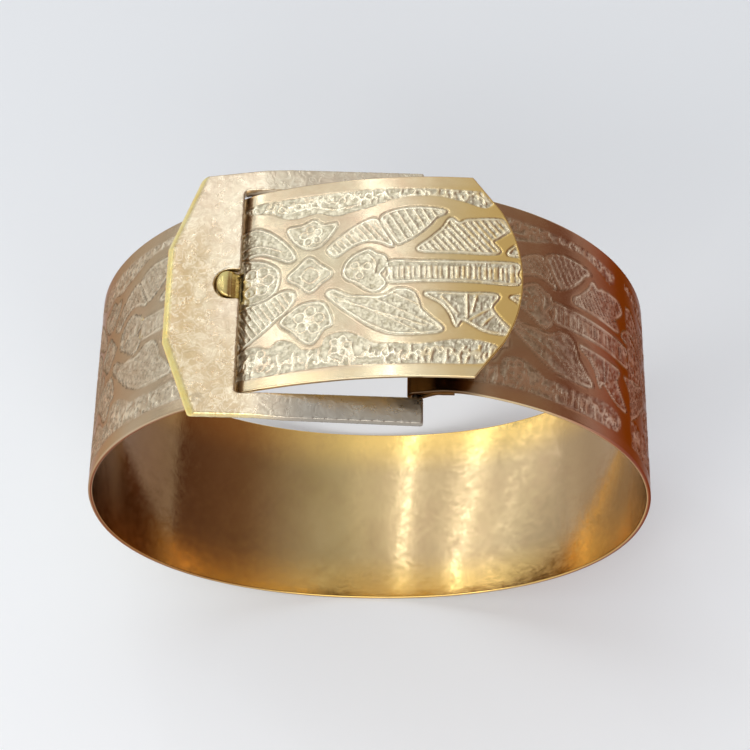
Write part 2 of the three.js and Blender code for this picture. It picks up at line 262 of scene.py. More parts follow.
PALE_BRASS, CREAM_BRASS = (0.79, 0.70, 0.51), (1.0, 0.90, 0.67)
TAN_BRASS, ROSE_BRASS = (0.60, 0.51, 0.35), (0.68, 0.51, 0.36)
GOLD_BRASS, ORANGE_BRASS = (0.78, 0.50, 0.14), (0.96, 0.63, 0.19)
# The second colour on the next line is painted shade, for the dark lines beside the lips.
GREY_TARNISH, GROOVE_PAINTED_SHADE = (0.48, 0.405, 0.265), (0.20, 0.155, 0.09)
# The first colour on the next line is red tarnish together with a painted reflection of a dark red
# surround.
RED_TARNISH_AND_REFLECTION, BROWN_TARNISH = (0.28, 0.085, 0.098), (0.40, 0.24, 0.14)
# The second colour on the next line is tarnish together with a painted dark reflection, for the inside's
# left.
EDGE_GOLD, INNER_TARNISH_AND_DARK_REFLECTION = (0.82, 0.62, 0.30), (0.43, 0.31, 0.32)
# The first colour on the next line is a painted shadow colour, for the fold that lies under the tip.
PAINTED_SHADOW_BROWN, GRAZING_TINT = (0.12, 0.085, 0.07), (0.60, 0.40, 0.32, 1)
INNER_GOLD, INNER_DEEP, INNER_GREY = (0.58, 0.42, 0.19), (0.51, 0.36, 0.15), (0.58, 0.42, 0.22)
SATIN_PALE, SATIN_ROSE = (0.76, 0.64, 0.46), (0.70, 0.55, 0.39)
SATIN_WARM, SATIN_DEEP = (0.56, 0.395, 0.215), (0.52, 0.375, 0.20)
SATIN_WORN, SATIN_DULL, SATIN_STROKE = (0.84, 0.73, 0.53), (0.55, 0.42, 0.27), (0.97, 0.88, 0.68)
# The second colour on the next line is painted shade for the window's inner walls.
ARM_GREY, WALL_PAINTED_SHADE = (0.32, 0.29, 0.25), (0.10, 0.07, 0.045)
# The two bevel colours on the next line are painted highlight.
BEVEL_HIGHLIGHT_GOLD, BEVEL_HIGHLIGHT_PALE = (1.0, 0.72, 0.20), (1.0, 0.82, 0.32)
TOOTH_GOLD, TOOTH_BROWN = (0.80, 0.66, 0.26), (0.62, 0.46, 0.18)
STEEL, STEEL_STAIN = (0.48, 0.46, 0.42), (0.24, 0.20, 0.15)
RIVET_BRASS, RIVET_STAIN = (0.66, 0.50, 0.28), (0.30, 0.20, 0.11)


def engraved_brass():
    """The strap's outside: worn bands with bright lips over a darker, finely matted ground. The lips'
    brightness is wear and painted highlight, the dark lines in the grooves are painted shade, the red is
    tarnish and painted reflection, and the fold under the tip carries a painted shadow.
    """
    g = Graph("engraved_brass")
    ground, lip, line = g.attribute("ground"), g.attribute("lip"), g.attribute("line")
    gold, red, rim = g.attribute("gold"), g.attribute("red"), g.attribute("rim")
    cloud, patch = g.noise(7.0, 4.0), g.noise(2.6, 5.0, rough=0.7)
    fine = g.noise(0.42, 4.0, rough=0.7)
    smooth = g.mix(g.ramp(cloud, 0.35, 0.65), TAN_BRASS, ROSE_BRASS)
    smooth = g.mix(g.ramp(patch, 0.45, 0.75, 0.0, 0.7), smooth, PALE_BRASS)
    smooth = g.mix(gold, smooth, GOLD_BRASS)
    # Paler edges: a golden edge tone, with a painted highlight along the near edge.
    smooth = g.mix(rim, smooth, g.mix(g.ramp(cloud, 0.3, 0.7), PALE_BRASS, EDGE_GOLD))
    smooth = g.mix(g.math("MULTIPLY", g.attribute("dull"), 0.55), smooth, GREY_TARNISH)
    matted = g.mix(g.ramp(fine, 0.42, 0.62), GREY_TARNISH, PALE_BRASS)
    colour = g.mix(g.math("MULTIPLY", ground, g.ramp(red, 0, 0.9, 1.0, 0.15)), smooth, matted)
    # Redder on the right band: tarnish and a painted reflection.
    colour = g.stained(colour, RED_TARNISH_AND_REFLECTION, red)
    bright = g.stained(CREAM_BRASS, RED_TARNISH_AND_REFLECTION, g.math("MULTIPLY", red, 0.3))
    # Bright lips: worn metal on the raised edges, with a painted highlight.
    colour = g.mix(g.math("MULTIPLY", lip, g.ramp(patch, 0.25, 0.6, 0.5, 1.0)), colour, bright)
    # Dark lines in the grooves beside the lips: painted shade.
    colour = g.mix(g.math("MULTIPLY", line, g.ramp(patch, 0.3, 0.7, 0.65, 0.15)), colour, GROOVE_PAINTED_SHADE)
    # A painted shadow over the fold under the tip.
    colour = g.stained(colour, PAINTED_SHADOW_BROWN, g.attribute("shade"))
    g.shader.inputs["Specular Tint"].default_value = GRAZING_TINT
    worn = g.ramp(g.noise(3.0, 5.0, rough=0.7), 0.3, 0.75, -0.04, 0.08)
    roughness = g.math("ADD", g.ramp(ground, 0, 1, 0.20, 0.30), worn)
    scratches = g.noise(0.5, 3.0, g.stretched(0.12, 1.0, 0.3), rough=0.7)
    normal = g.bump(scratches, 0.012, 0.5)
    normal = g.bump(g.math("MULTIPLY", g.noise(0.2, 2.0), ground), 0.05, 0.8, normal)
    return g.finish(colour, roughness, normal)


def inner_brass():
    """The strap's inside: plain soft gold, oranger towards its edges and a little uneven, darker to the
    left with tarnish and a painted dark reflection, and painted shadow on the fold under the tip.
    """
    g = Graph("inner_brass")
    cloud = g.noise(9.0, 3.0)
    colour = g.mix(g.ramp(cloud, 0.35, 0.7), INNER_GOLD, INNER_DEEP)
    colour = g.mix(g.attribute("gold"), INNER_GREY, colour)
    colour = g.mix(g.attribute("rim"), colour, ORANGE_BRASS)
    stain = g.ramp(g.noise(5.0, 5.0, rough=0.7), 0.5, 0.85, 0.0, 0.35)
    colour = g.mix(stain, colour, BROWN_TARNISH)
    # Darker to the left: tarnish and a painted dark reflection.
    colour = g.stained(colour, INNER_TARNISH_AND_DARK_REFLECTION, g.attribute("red"))
    # A painted shadow over the fold under the tip, on its inner side too.
    colour = g.stained(colour, PAINTED_SHADOW_BROWN, g.attribute("shade"))
    roughness = g.ramp(g.noise(1.2, 4.0, rough=0.65), 0.35, 0.7, 0.12, 0.25)
    normal = g.bump(g.noise(2.0, 3.0, rough=0.5, distortion=0.8), 0.02, 0.7)
    normal = g.bump(g.noise(0.5, 3.0, g.stretched(1.0, 0.3, 1.0)), 0.006, 0.5, normal)
    return g.finish(colour, roughness, normal)


def satin_brass():
    """The frame: pale satin brass with fine wavy scratches, bevels painted bright yellow as a highlight,
    greyer arms and painted shade on the window's inner walls.
    """
    g = Graph("satin_brass")
    edge, grey, warm = g.attribute("edge"), g.attribute("grey"), g.attribute("warm")
    cloud, patch = g.noise(5.0, 4.0), g.noise(1.6, 4.0, rough=0.65, distortion=0.5)
    waves = g.noise(1.3, 3.0, rough=0.55, distortion=1.6)
    strokes = g.ramp(g.math("ABSOLUTE", g.math("SUBTRACT", waves, 0.5)), 0.0, 0.05, 1.0, 0.0)
    pale = g.mix(g.ramp(cloud, 0.35, 0.65), SATIN_PALE, SATIN_ROSE)
    colour = g.mix(warm, pale, g.mix(g.ramp(cloud, 0.4, 0.6), SATIN_WARM, SATIN_DEEP))
    colour = g.mix(g.ramp(patch, 0.45, 0.7, 0.0, 0.45), colour, SATIN_WORN)
    colour = g.mix(g.ramp(patch, 0.30, 0.45, 0.5, 0.0), colour, SATIN_DULL)
    colour = g.mix(g.math("MULTIPLY", strokes, g.ramp(cloud, 0.3, 0.6, 0.7, 0.3)), colour, SATIN_STROKE)
    colour = g.mix(grey, colour, ARM_GREY)
    # The bevels and a thin line along the near side are painted bright yellow: a painted highlight.
    colour = g.mix(edge, colour, g.mix(g.ramp(patch, 0.3, 0.6), BEVEL_HIGHLIGHT_GOLD, BEVEL_HIGHLIGHT_PALE))
    # The window's inner walls are darkened with painted shade.
    colour = g.mix(g.attribute("wall"), colour, WALL_PAINTED_SHADE)
    uneven = g.ramp(g.noise(1.0, 4.0), 0.3, 0.75, 0.24, 0.38)
    roughness = g.math("ADD", uneven, g.math("MULTIPLY", edge, -0.1))
    scratches = g.noise(0.5, 3.0, g.stretched(0.12, 1.0, 1.0), 0.7, 0.4)
    flat = g.math("MULTIPLY", g.ramp(grey, 0, 1, 1.0, 0.25), g.ramp(edge, 0, 0.5, 1.0, 0.2))
    normal = g.bump(g.math("MULTIPLY", waves, flat), 0.11, 0.8)
    normal = g.bump(scratches, 0.02, 0.5, normal)
    return g.finish(colour, roughness, normal)


def bright_brass():
    """The catch's tooth: yellow brass, polished by the thumb."""
    g = Graph("bright_brass")
    cloud = g.noise(1.4, 3.0)
    colour = g.mix(g.ramp(cloud, 0.35, 0.7), TOOTH_GOLD, TOOTH_BROWN)
    roughness = g.ramp(g.noise(0.5, 4.0), 0.3, 0.8, 0.2, 0.36)
    normal = g.bump(g.noise(0.3, 3.0, g.stretched(0.2, 1.0, 1.0)), 0.02, 0.5)
    return g.finish(colour, roughness, normal)


def small_metal(name, colour, stain):
    """Pins, springs and rivets: one metal, with its own stain."""
    g = Graph(name)
    mixed = g.mix(g.ramp(g.noise(0.9, 4.0), 0.4, 0.75), colour, stain)
    roughness = g.ramp(g.noise(0.5, 4.0), 0.3, 0.8, 0.26, 0.46)
    normal = g.bump(g.noise(0.18, 3.0, g.stretched(0.15, 1.0, 1.0)), 0.015, 0.5)
    return g.finish(mixed, roughness, normal)


# ---- The strap's middle line ----

LINE_STEP, SOFT_REACH, SOFT_WIDTH = 0.05, 2.4, 0.9


def surface_height(x):
    return LOOP_RISE * math.sqrt(1 - (x / LOOP_HALF_WIDTH) ** 2)


def normals_of(points):
    """Unit normals on the left-hand side of a line."""
    along = np.gradient(points, axis=0)
    along /= np.linalg.norm(along, axis=1)[:, None]
    return np.stack([-along[:, 1], along[:, 0]], 1)


def loop_outside(angle):
    """Points of the loop's outer surface at angles from +X towards +Z."""
    c, s = np.cos(angle), np.sin(angle)
    power = np.where(s >= 0, 2 / UPPER_ROUNDNESS, 2 / LOWER_ROUNDNESS)
    height = np.where(s >= 0, LOOP_RISE, LOOP_DROP)
    x = LOOP_HALF_WIDTH * np.sign(c) * np.abs(c) ** power
    return np.stack([x, height * np.sign(s) * np.abs(s) ** power], 1)


def fold_line():
    """The fixed end: its short inner layer, the turn round the pin and the outer layer."""
    level = surface_height(FOLD_JOIN) + FOLD_LIFT - HALF

    def outer_at(x, drop=0.0):
        return (x, level - (FOLD_JOIN - x) * FOLD_SLOPE - drop)

    layer = THICKNESS + FOLD_GAP
    inner = [
        outer_at(FOLD_END, layer),
        outer_at(FOLD_END - FOLD_LAYER_STEP, layer),
        outer_at(FOLD_END - FOLD_LAYER_END, layer + FOLD_LAYER_DIP),
    ]
    radius = PIN_RADIUS + LOOP_GAP + HALF
    angles = -math.pi * (FOLD_TURN_START + FOLD_TURN_SWEEP * np.linspace(0, 1, 33))
    turn = np.stack([PIN[0] + radius * np.cos(angles), PIN[2] + radius * np.sin(angles)], 1)
    join_x = FOLD_JOIN + FOLD_JOIN_LAP
    join = (join_x, surface_height(join_x) - HALF - FOLD_JOIN_DROP)
    flat = [outer_at(FOLD_END - FOLD_OUTER_START, FOLD_OUTER_DIP), outer_at(FOLD_END - FOLD_OUTER_END)]
    outer = catmull([turn[-1], *flat, join], 60)
    start = catmull([*inner, turn[0]], 40)[:-1]
    return np.vstack([start, turn, outer[1:-5]])


def strap_line():
    """The whole middle line, evenly spaced, with its length so far and its outward normals."""
    first = math.acos((FOLD_JOIN + 0.9) / LOOP_HALF_WIDTH)
    last = math.acos(LEAVE_X / LOOP_HALF_WIDTH) - 2 * math.pi
    outside = loop_outside(np.linspace(first, last, 1041))
    loop = outside - normals_of(outside) * HALF
    free = catmull([loop[-21], loop[-1], *FREE_END], 540)
    free = free[free[:, 0] > loop[-1, 0] + 0.3]
    fold = fold_line()
    line = np.vstack([fold, loop, free])
    far = np.concatenate([[0], np.cumsum(np.linalg.norm(np.diff(line, axis=0), axis=1))])
    even = np.arange(0, far[-1], LINE_STEP)
    line = np.stack([np.interp(even, far, line[:, k]) for k in (0, 1)], 1)
    reach = int(SOFT_REACH / LINE_STEP)
    kernel = np.exp(-0.5 * (np.arange(-reach, reach + 1) * LINE_STEP / SOFT_WIDTH) ** 2)
    padded = np.pad(line, ((reach, reach), (0, 0)), mode="reflect", reflect_type="odd")
    soft = np.stack([np.convolve(padded[:, k], kernel / kernel.sum(), "valid") for k in (0, 1)], 1)
    turned = far[len(fold) - 1]
    share = smoothstep(even, turned - 3.0, turned + 1.0)[:, None]
    line = line * (1 - share) + soft * share
    return line + (0, LOOP_DROP), even, normals_of(line)


line_points, line_far, line_normals = strap_line()
THREE_QUARTERS = len(line_far) * 3 // 4
TIP_START = THREE_QUARTERS + int(np.argmax(line_points[THREE_QUARTERS:, 0] > WINDOW_LEFT))


def on_line(far):
    """Middle-line points and outward normals at lengths along it."""
    points = np.stack([np.interp(far, line_far, line_points[:, k]) for k in (0, 1)], 1)
    normals = np.stack([np.interp(far, line_far, line_normals[:, k]) for k in (0, 1)], 1)
    return points, normals / np.linalg.norm(normals, axis=1)[:, None]


def free_end_far(x):
    """The length along the line at an X on the free end."""
    return float(np.interp(x, line_points[THREE_QUARTERS:, 0], line_far[THREE_QUARTERS:]))


# ---- The engraving ----

MOTIF_LEFT, MOTIF_RIGHT = WINDOW_LEFT, TIP_APEX_X
MOTIF_STEP = 0.05
GROUND_DEPTH, GROOVE_DEPTH, LIP_RISE, GRAIN_HEIGHT = 0.1, 0.06, 0.03, 0.06
LIP_IN, LIP_OUT = 0.16, 0.36
PANEL_SPREAD = 0.24
Y_SHIFT, MOTIF_REPEAT = 0.4, 30.4


def grain(shape, pitch, seed):
    """Smooth noise from 0 to 1 with a given pitch, over a map."""
    rng = np.random.default_rng(seed)
    steps = pitch / MOTIF_STEP
    size = [int(n / steps) + 3 for n in shape]
    coarse = rng.random(size)
    u, v = (np.arange(n) / steps for n in shape)
    i, j = u.astype(int), v.astype(int)
    a, b = smoothstep(u - i)[:, None], smoothstep(v - j)[None, :]
    low = coarse[np.ix_(i, j)] * (1 - b) + coarse[np.ix_(i, j + 1)] * b
    high = coarse[np.ix_(i + 1, j)] * (1 - b) + coarse[np.ix_(i + 1, j + 1)] * b
    return low * (1 - a) + high * a


def ridge(distance, half_width, soft=0.09):
    return 1 - smoothstep(distance, half_width - soft / 2, half_width + soft)


def hatch(degrees, spacing, half_width=0.12):
    """Parallel raised lines."""
    a = math.radians(degrees)

    def fill(x, y, d):
        across = -x * math.sin(a) + y * math.cos(a)
        off = np.abs((across / spacing) % 1 - 0.5) * spacing
        return ridge(off, half_width) * 0.85

    return fill


def lines(*runs, half_width=0.14):
    """Raised lines along given runs."""

    def fill(x, y, d):
        found = np.zeros(np.shape(x))
        for run in runs:
            found = np.maximum(found, ridge(line_distance(x, y, catmull(run, 6 * len(run))), half_width))
        return found

    return fill


def rosette(cx, cy, radius, petals, turn=0.0):
    """A small flower: a centre boss and a ring of outlined petals."""

    def fill(x, y, d):
        r = np.hypot(x - cx, y - cy)
        found = ridge(r, radius * 0.2)
        for k in range(petals):
            a = turn + 2 * math.pi * k / petals
            px, py = cx + radius * 0.62 * math.cos(a), cy + radius * 0.62 * math.sin(a)
            off = np.abs(np.hypot(x - px, y - py) - radius * 0.34)
            found = np.maximum(found, ridge(off, 0.1))
        return found

    return fill


def bars(low, high, spacing, half_width=0.13):
    """Upright bars between two levels, as in a column's ladder."""

    def fill(x, y, d):
        uneven = x + 0.07 * np.sin(4.7 * x) + 0.05 * np.sin(9.1 * x + 1)
        off = np.abs((uneven / spacing) % 1 - 0.5) * spacing
        inside = ridge(np.abs(y - (low + high) / 2), (high - low) / 2)
        return ridge(off, half_width) * inside * 0.9

    return fill


def scrolls(level, height, seed, half_width=0.13):
    """A running border of small curled leaves, no two quite alike."""
    rng = np.random.default_rng(seed)
    marks = []
    x = MOTIF_LEFT - 0.5
    while x < MOTIF_RIGHT + 0.5:
        size, start, sweep = rng.uniform(0.26, 0.46), rng.uniform(0, 2 * math.pi), rng.uniform(2.4, 4.8)
        middle = level + rng.uniform(-0.5, 0.5) * (height - 2 * size)
        turn = start + sweep * np.arange(5) / 4
        curl = [(x + size * math.cos(a), middle + size * math.sin(a)) for a in turn]
        marks.append(curl)
        if rng.random() < 0.8:
            foot = level + math.copysign(height / 2, level - middle)
            lean = rng.uniform(-0.5, 0.5)
            marks.append([curl[-1], (x + lean, (foot + middle) / 2), (x + 1.4 * lean, foot)])
        x += rng.uniform(0.5, 0.95)

    def fill(x, y, d):
        found = np.zeros(np.shape(x))
        for mark in marks:
            near = np.abs(x[:, 0] - mark[1][0]) < 2.0
            if near.any():
                away = line_distance(x[near], y[near], catmull(mark, 6))
                found[near] = np.maximum(found[near], ridge(away, half_width))
        return found

    return fill


def together(*fills):
    def fill(x, y, d):
        return np.maximum.reduce([f(x, y, d) for f in fills])

    return fill


def plain(x, y, d):
    return np.zeros(np.shape(x))


LADDER = bars(-0.1, 1.35, 0.56)
BORDERS = 2
PANELS = [
    # the petals and flower on the left, cut off by the bar
    ([(-14.3, 6.9), (-12.8, 7.7), (-11.3, 7.1), (-9.9, 5.9), (-8.8, 4.6), (-8.2, 3.4), (-8.9, 3.1),
      (-10.5, 4.0), (-12, 4.6), (-14.3, 4.6)], lines([(-14, 5.4), (-12, 5.5), (-9.6, 4.4)],
      half_width=0.1)),
    ([(-14.4, 3.9), (-12.4, 3.7), (-11, 3.1), (-10, 2.2), (-9.8, 1.1), (-10.1, -0.2), (-11, -1.0),
      (-12.5, -1.3), (-14.4, -1.4)], rosette(-12.1, 1.2, 1.9, 6)),
    ([(-14.3, -2.0), (-11.5, -1.5), (-9.5, -0.6), (-8.4, -0.7), (-8.1, -1.4), (-8.8, -2.7), (-10, -3.7),
      (-11.5, -5), (-13, -6), (-14.3, -6.4)], hatch(-58, 0.62)),
    # the diamond and the two flower squares where the bands cross
    ([(-8.8, 1.0), (-7.8, 2.1), (-6.7, 3.1), (-5.5, 2.1), (-4.3, 1.0), (-5.4, 0.0), (-6.5, -0.9),
      (-7.7, 0.1)], lines([(-7.6, 1.0), (-6.6, 2.0), (-5.5, 1.0), (-6.5, 0.1), (-7.6, 1.0)],
      half_width=0.12)),
    ([(-9.0, 6.9), (-8.2, 5.3), (-7, 4.4), (-5.8, 4.4), (-4.8, 5.3), (-3.9, 6.9), (-5.3, 6.9),
      (-6.3, 7.6), (-7.5, 7.1)], rosette(-6.5, 5.8, 1.25, 5, 0.5)),
    ([(-9.4, -4.1), (-8, -2.8), (-6.8, -2.3), (-5.3, -2.4), (-4.6, -3.3), (-4.2, -4.9), (-5, -5.4),
      (-6, -6.9), (-7, -6.6), (-8.1, -5.4)], rosette(-6.5, -4.3, 1.7, 5, 0.2)),
    # the leaves above the column
    ([(-4.7, 3.9), (-3.9, 3.0), (-2.5, 3.9), (-1, 4.5), (0.5, 4.4), (2, 3.8), (1.3, 5.2), (0.3, 7.0),
      (-1, 6.8), (-2.5, 5.9), (-3.8, 4.9)], hatch(-52, 0.55)),
    ([(0.8, 7.2), (2.5, 8.1), (5, 8.3), (7.5, 7.9), (6.5, 7.2), (5.8, 6.3), (4.5, 5.1), (3.2, 4.3),
      (2.5, 4.1), (1.7, 5.3)], hatch(-60, 0.8, 0.1)),
    ([(8.0, 7.0), (8.9, 6.5), (10, 6.9), (13.2, 7.1), (14.2, 6.2), (13.1, 5.1), (12.3, 4.4),
      (12.9, 3.1), (9, 3.0), (4.7, 3.2), (6, 4.6), (7.2, 5.8)], hatch(-50, 0.6)),
    ([(14.0, 3.0), (14.6, 3.9), (16, 4.4), (16, 3.0)], plain),
    # the bud and the column
    ([(-3.0, 1.1), (-2.6, 2.2), (-1.8, 2.9), (-0.5, 3.4), (0.3, 2.9), (1.2, 2.5), (1.4, 1.5),
      (0.7, 0.5), (1.3, -0.6), (0.4, -1.5), (-0.6, -1.2), (-1.8, -0.3), (-2.7, 0.2)],
      together(rosette(-1.3, 1.2, 1.2, 3, 0.4), lines([(-0.5, 2.9), (0.2, 1.9), (0.1, 0.6)],
      half_width=0.12))),
    ([(1.7, 1.9), (5, 1.85), (10, 1.85), (14.8, 1.9), (14.8, 0.7), (14.8, -0.45), (10, -0.4), (5, -0.4),
      (1.7, -0.45), (1.7, 0.7)], together(LADDER, lines([(14.3, 1.4), (14.3, -0.3)], half_width=0.2))),
    # the leaves below the column
    ([(-4.7, -1.5), (-4, -1.1), (-2.5, -1.9), (-1, -2.1), (1, -2.2), (2.6, -1.4), (4.1, -1.8),
      (4.7, -3), (4.9, -3.8), (6, -4.9), (7.1, -6.1), (5, -6.5), (2, -6.4), (0, -5.6), (-1.5, -4.5),
      (-3.2, -3.1)], together(lines([(-3.4, -2.3), (0, -3.7), (3.5, -5.0), (5.5, -5.7)],
      half_width=0.1), hatch(-28, 1.35, 0.09))),
    ([(5.4, -1.9), (9, -1.9), (12.7, -1.9), (12.1, -3.4), (13, -4.8), (14.1, -6.2), (12.5, -6.3),
      (11, -5.9), (9.2, -4.9), (8.5, -5.6), (7.9, -4.2), (7, -3)], lines([(9.6, -2.0), (9.6, -4.6)],
      [(11.8, -3.6), (9.9, -4.9)], [(7.0, -2.3), (8.6, -4.2)], [(12.3, -4.3), (11.2, -5.4)],
      [(10.6, -2.1), (10.1, -3.9)], half_width=0.11)),
    ([(14.2, -2.0), (14.8, -2.5), (16, -3.6), (16, -2.0)], plain),
    # the two borders
    ([(-14.3, 10.7), (-6, 10.75), (2, 10.75), (9, 10.6), (12.4, 10.3), (12.7, 9.4), (11.6, 8.4),
      (9.2, 9.1), (6.5, 9.7), (4, 9.7), (2, 9.4), (0, 8.7), (-2, 8.2), (-4, 7.8), (-6, 8.4), (-8, 8.1),
      (-9.5, 8.4), (-11, 9.3), (-14.3, 10.0)], together(scrolls(9.9, 1.7, 3), lines([(-8.5, 9),
      (-6.5, 9.3), (-4, 8.7), (-1.4, 9.0)]))),
    ([(-14.3, -7.0), (-12, -6.5), (-10.6, -6.9), (-9.5, -6.2), (-8, -6.7), (-7, -7.6), (-5.3, -7.5),
      (-4.7, -6.4), (-2.8, -6.0), (-1, -6.7), (0.3, -7.5), (2, -7.6), (5, -7.7), (8, -7.2), (10, -7.1),
      (12.4, -7.6), (12.7, -8.5), (11.1, -9.9), (4, -10.0), (-4, -9.9), (-14.3, -9.9)],
      together(scrolls(-8.8, 1.9, 8), rosette(-11.6, -8.2, 1.3, 5), rosette(-3.2, -7.6, 1.2, 5))),
]


def engrave():
    """The motif as maps: height in millimetres, and shares of matted ground, bright lip (wear and painted
    highlight) and dark line (painted shade in the groove).
    """
    x_axis = np.arange(MOTIF_LEFT, MOTIF_RIGHT + MOTIF_STEP, MOTIF_STEP)
    y_axis = np.arange(-STRAP_HALF, STRAP_HALF + MOTIF_STEP, MOTIF_STEP)
    shape = (len(x_axis), len(y_axis))
    ground, lip, groove = np.zeros(shape), np.zeros(shape), np.zeros(shape)
    wear_and_glint = smoothstep(grain(shape, 0.8, 5), 0.15, 0.6)
    for number, (outline, fill) in enumerate(PANELS):
        outlined = number < len(PANELS) - BORDERS
        curve = closed_curve(outline)
        (x0, y0), (x1, y1) = curve.min(0), curve.max(0)
        rows = np.flatnonzero((x_axis > x0 - 0.5) & (x_axis < x1 + 0.5))
        columns = np.flatnonzero((y_axis + Y_SHIFT > y0 - 0.5) & (y_axis + Y_SHIFT < y1 + 0.5))
        window = np.ix_(rows, columns)
        x, y = np.meshgrid(x_axis[rows], y_axis[columns] + Y_SHIFT, indexing="ij")
        d = inside_distance(x, y, curve) + PANEL_SPREAD * outlined
        marks = fill(x, y, d) * smoothstep(d, 0.0, 0.2)
        rim = ridge(np.abs(d - (LIP_IN + LIP_OUT) / 2), (LIP_OUT - LIP_IN) / 2) * outlined
        cut = np.exp(-(((d - LIP_IN * 0.3) / 0.07) ** 2)) * outlined
        recess = smoothstep(d, 0.0, 0.12) * (1 - np.maximum(rim, marks))
        ground[window] = np.maximum(ground[window], recess)
        # The lips' brightness: worn metal with a painted highlight, varied from place to place.
        bright = np.maximum(rim * (0.5 + 0.5 * wear_and_glint[window]), marks * (0.2 + 0.6 * wear_and_glint[window]))
        lip[window] = np.maximum(lip[window], bright)
        groove[window] = np.maximum(groove[window], cut)
    worms = 1 - smoothstep(np.abs(grain(shape, 0.42, 11) - 0.5), 0.03, 0.13)
    specks = smoothstep(grain(shape, 0.3, 12), 0.55, 0.8)
    rough = GRAIN_HEIGHT * np.maximum(worms * 0.8, specks) * ground
    height = rough - GROUND_DEPTH * ground - GROOVE_DEPTH * groove + LIP_RISE * lip
    # Bright specks in the matted ground: painted glints.
    lip = np.maximum(lip, 0.55 * np.maximum(worms * 0.6, specks) * ground)
    return x_axis, y_axis, (height, ground, lip, groove)


def sample_map(x_axis, y_axis, values, x, y):
    """A map read between its points."""
    u = np.clip((x - x_axis[0]) / MOTIF_STEP, 0, len(x_axis) - 1.001)
    v = np.clip((y - y_axis[0]) / MOTIF_STEP, 0, len(y_axis) - 1.001)
    i, j = u.astype(int), v.astype(int)
    a, b = u - i, v - j
    low = values[i, j] * (1 - b) + values[i, j + 1] * b
    high = values[i + 1, j] * (1 - b) + values[i + 1, j + 1] * b
    return low * (1 - a) + high * a


# ---- The strap's mesh ----

EDGE_ROUND = 0.13
EDGE_STEPS = (0.0, 0.012, 0.03, 0.06, 0.1, 0.15, 0.2)
SIDE_COLUMNS, MIDDLE_COLUMNS = 98, 34
INNER_EDGE_STEPS = (0.0, 0.03, 0.1, 0.2)
INNER_SIDE_COLUMNS, INNER_MIDDLE_COLUMNS = 12, 4
COARSE_STEP, FINE_STEP, FOLD_STEP = 0.22, 0.1, 0.09
PLAIN_LENGTH, FOLD_LENGTH = 9.0, 6.0


def half_width(x, tip):
    """The strap's half width at an X, on the tip."""
    run, rise = TIP_SHOULDER[0] - TIP_CORNER_X, STRAP_HALF - TIP_SHOULDER[1]
    chamfer = TIP_SHOULDER[1] + (TIP_SHOULDER[0] - x) * rise / run
    centre = TIP_APEX_X - TIP_ARC_RADIUS
    arc = np.sqrt(np.maximum(TIP_ARC_RADIUS**2 - (x - centre) ** 2, 0))
    narrow = np.where(x < TIP_SHOULDER[0], np.minimum(chamfer, STRAP_HALF), arc)
    return np.where(tip, narrow, STRAP_HALF)


def edge_distance(x, y, tip):
    """How far a point of the strap is in from its outline."""
    side = STRAP_HALF - np.abs(y)
    dx, dy = TIP_SHOULDER[0] - TIP_CORNER_X, TIP_SHOULDER[1] - STRAP_HALF
    length = math.hypot(dx, dy)
    chamfer = ((x - TIP_CORNER_X) * dy - (np.abs(y) - STRAP_HALF) * dx) / length
    arc = TIP_ARC_RADIUS - np.hypot(x - (TIP_APEX_X - TIP_ARC_RADIUS), y)
    arc = np.where(x > TIP_SHOULDER[0] - 1, arc, side)
    return np.where(tip, np.minimum(np.minimum(side, np.abs(chamfer)), arc), side)


def columns_across(half, edge_steps, side_count, middle_count):
    """Places across the strap, close together at its edges, with one on each side of the catch's slot."""
    edge = min(edge_steps[-1], 0.2 * half)
    steps = np.array(edge_steps) * edge / edge_steps[-1]
    narrowed = min(1.0, half / 5)
    near, far = (CATCH_Y - SLOT_HALF) * narrowed, (CATCH_Y + SLOT_HALF) * narrowed
    left = -half + steps
    side = np.linspace(-half + edge, near, side_count + 1)[1:]
    centre = np.linspace(near, far, middle_count + 1)[1:]
    right = np.linspace(far, half - edge, side_count + 1)[1:]
    return np.concatenate([left, side, centre, right, (half - steps[:-1])[::-1]])


def strap_stations():
    """Lengths along the line for the mesh's rows, with the first fine row's number."""
    slot_left, slot_right = free_end_far(SLOT_LEFT_X), free_end_far(SLOT_RIGHT_X)
    fine_start = free_end_far(WINDOW_LEFT - 0.6)
    apex = free_end_far(TIP_APEX_X - 0.012)
    near_apex = free_end_far(TIP_APEX_X - 1.2)

    def run(a, b, step):
        return np.linspace(a, b, max(2, int(round((b - a) / step)) + 1))[:-1]

    fold = run(0, FOLD_LENGTH, FOLD_STEP)
    loop = [run(FOLD_LENGTH, slot_left, COARSE_STEP), run(slot_left, fine_start, COARSE_STEP)]
    coarse = np.concatenate([fold, *loop])
    closing = apex - (apex - near_apex) * np.linspace(1, 0, 26) ** 2
    fine = [run(fine_start, slot_right, FINE_STEP), run(slot_right, near_apex, FINE_STEP), closing]
    return np.concatenate([coarse, *fine]), len(coarse), slot_left, slot_right


def motif_place(far, x):
    """Where each row falls in the motif, which repeats back along the loop from the tip."""
    start = line_far[TIP_START]
    length = MOTIF_RIGHT - MOTIF_LEFT
    back = MOTIF_LEFT + ((far - start) % MOTIF_REPEAT) * length / MOTIF_REPEAT
    return np.where(far >= start, x, back)


def in_from_outline(points, across, on_tip):
    """How far a grid's points are in from the strap's outline."""
    count = across.shape[1]
    x, tip = np.repeat(points[:, :1], count, 1), np.repeat(on_tip[:, None], count, 1)
    return edge_distance(x, across, tip)


def lifted(points, normals, across, lift):
    """A grid of points at a height over the middle line."""
    x, z = points[:, :1] + normals[:, :1] * lift, points[:, 1:] + normals[:, 1:] * lift
    return np.stack([x, across, z], -1)


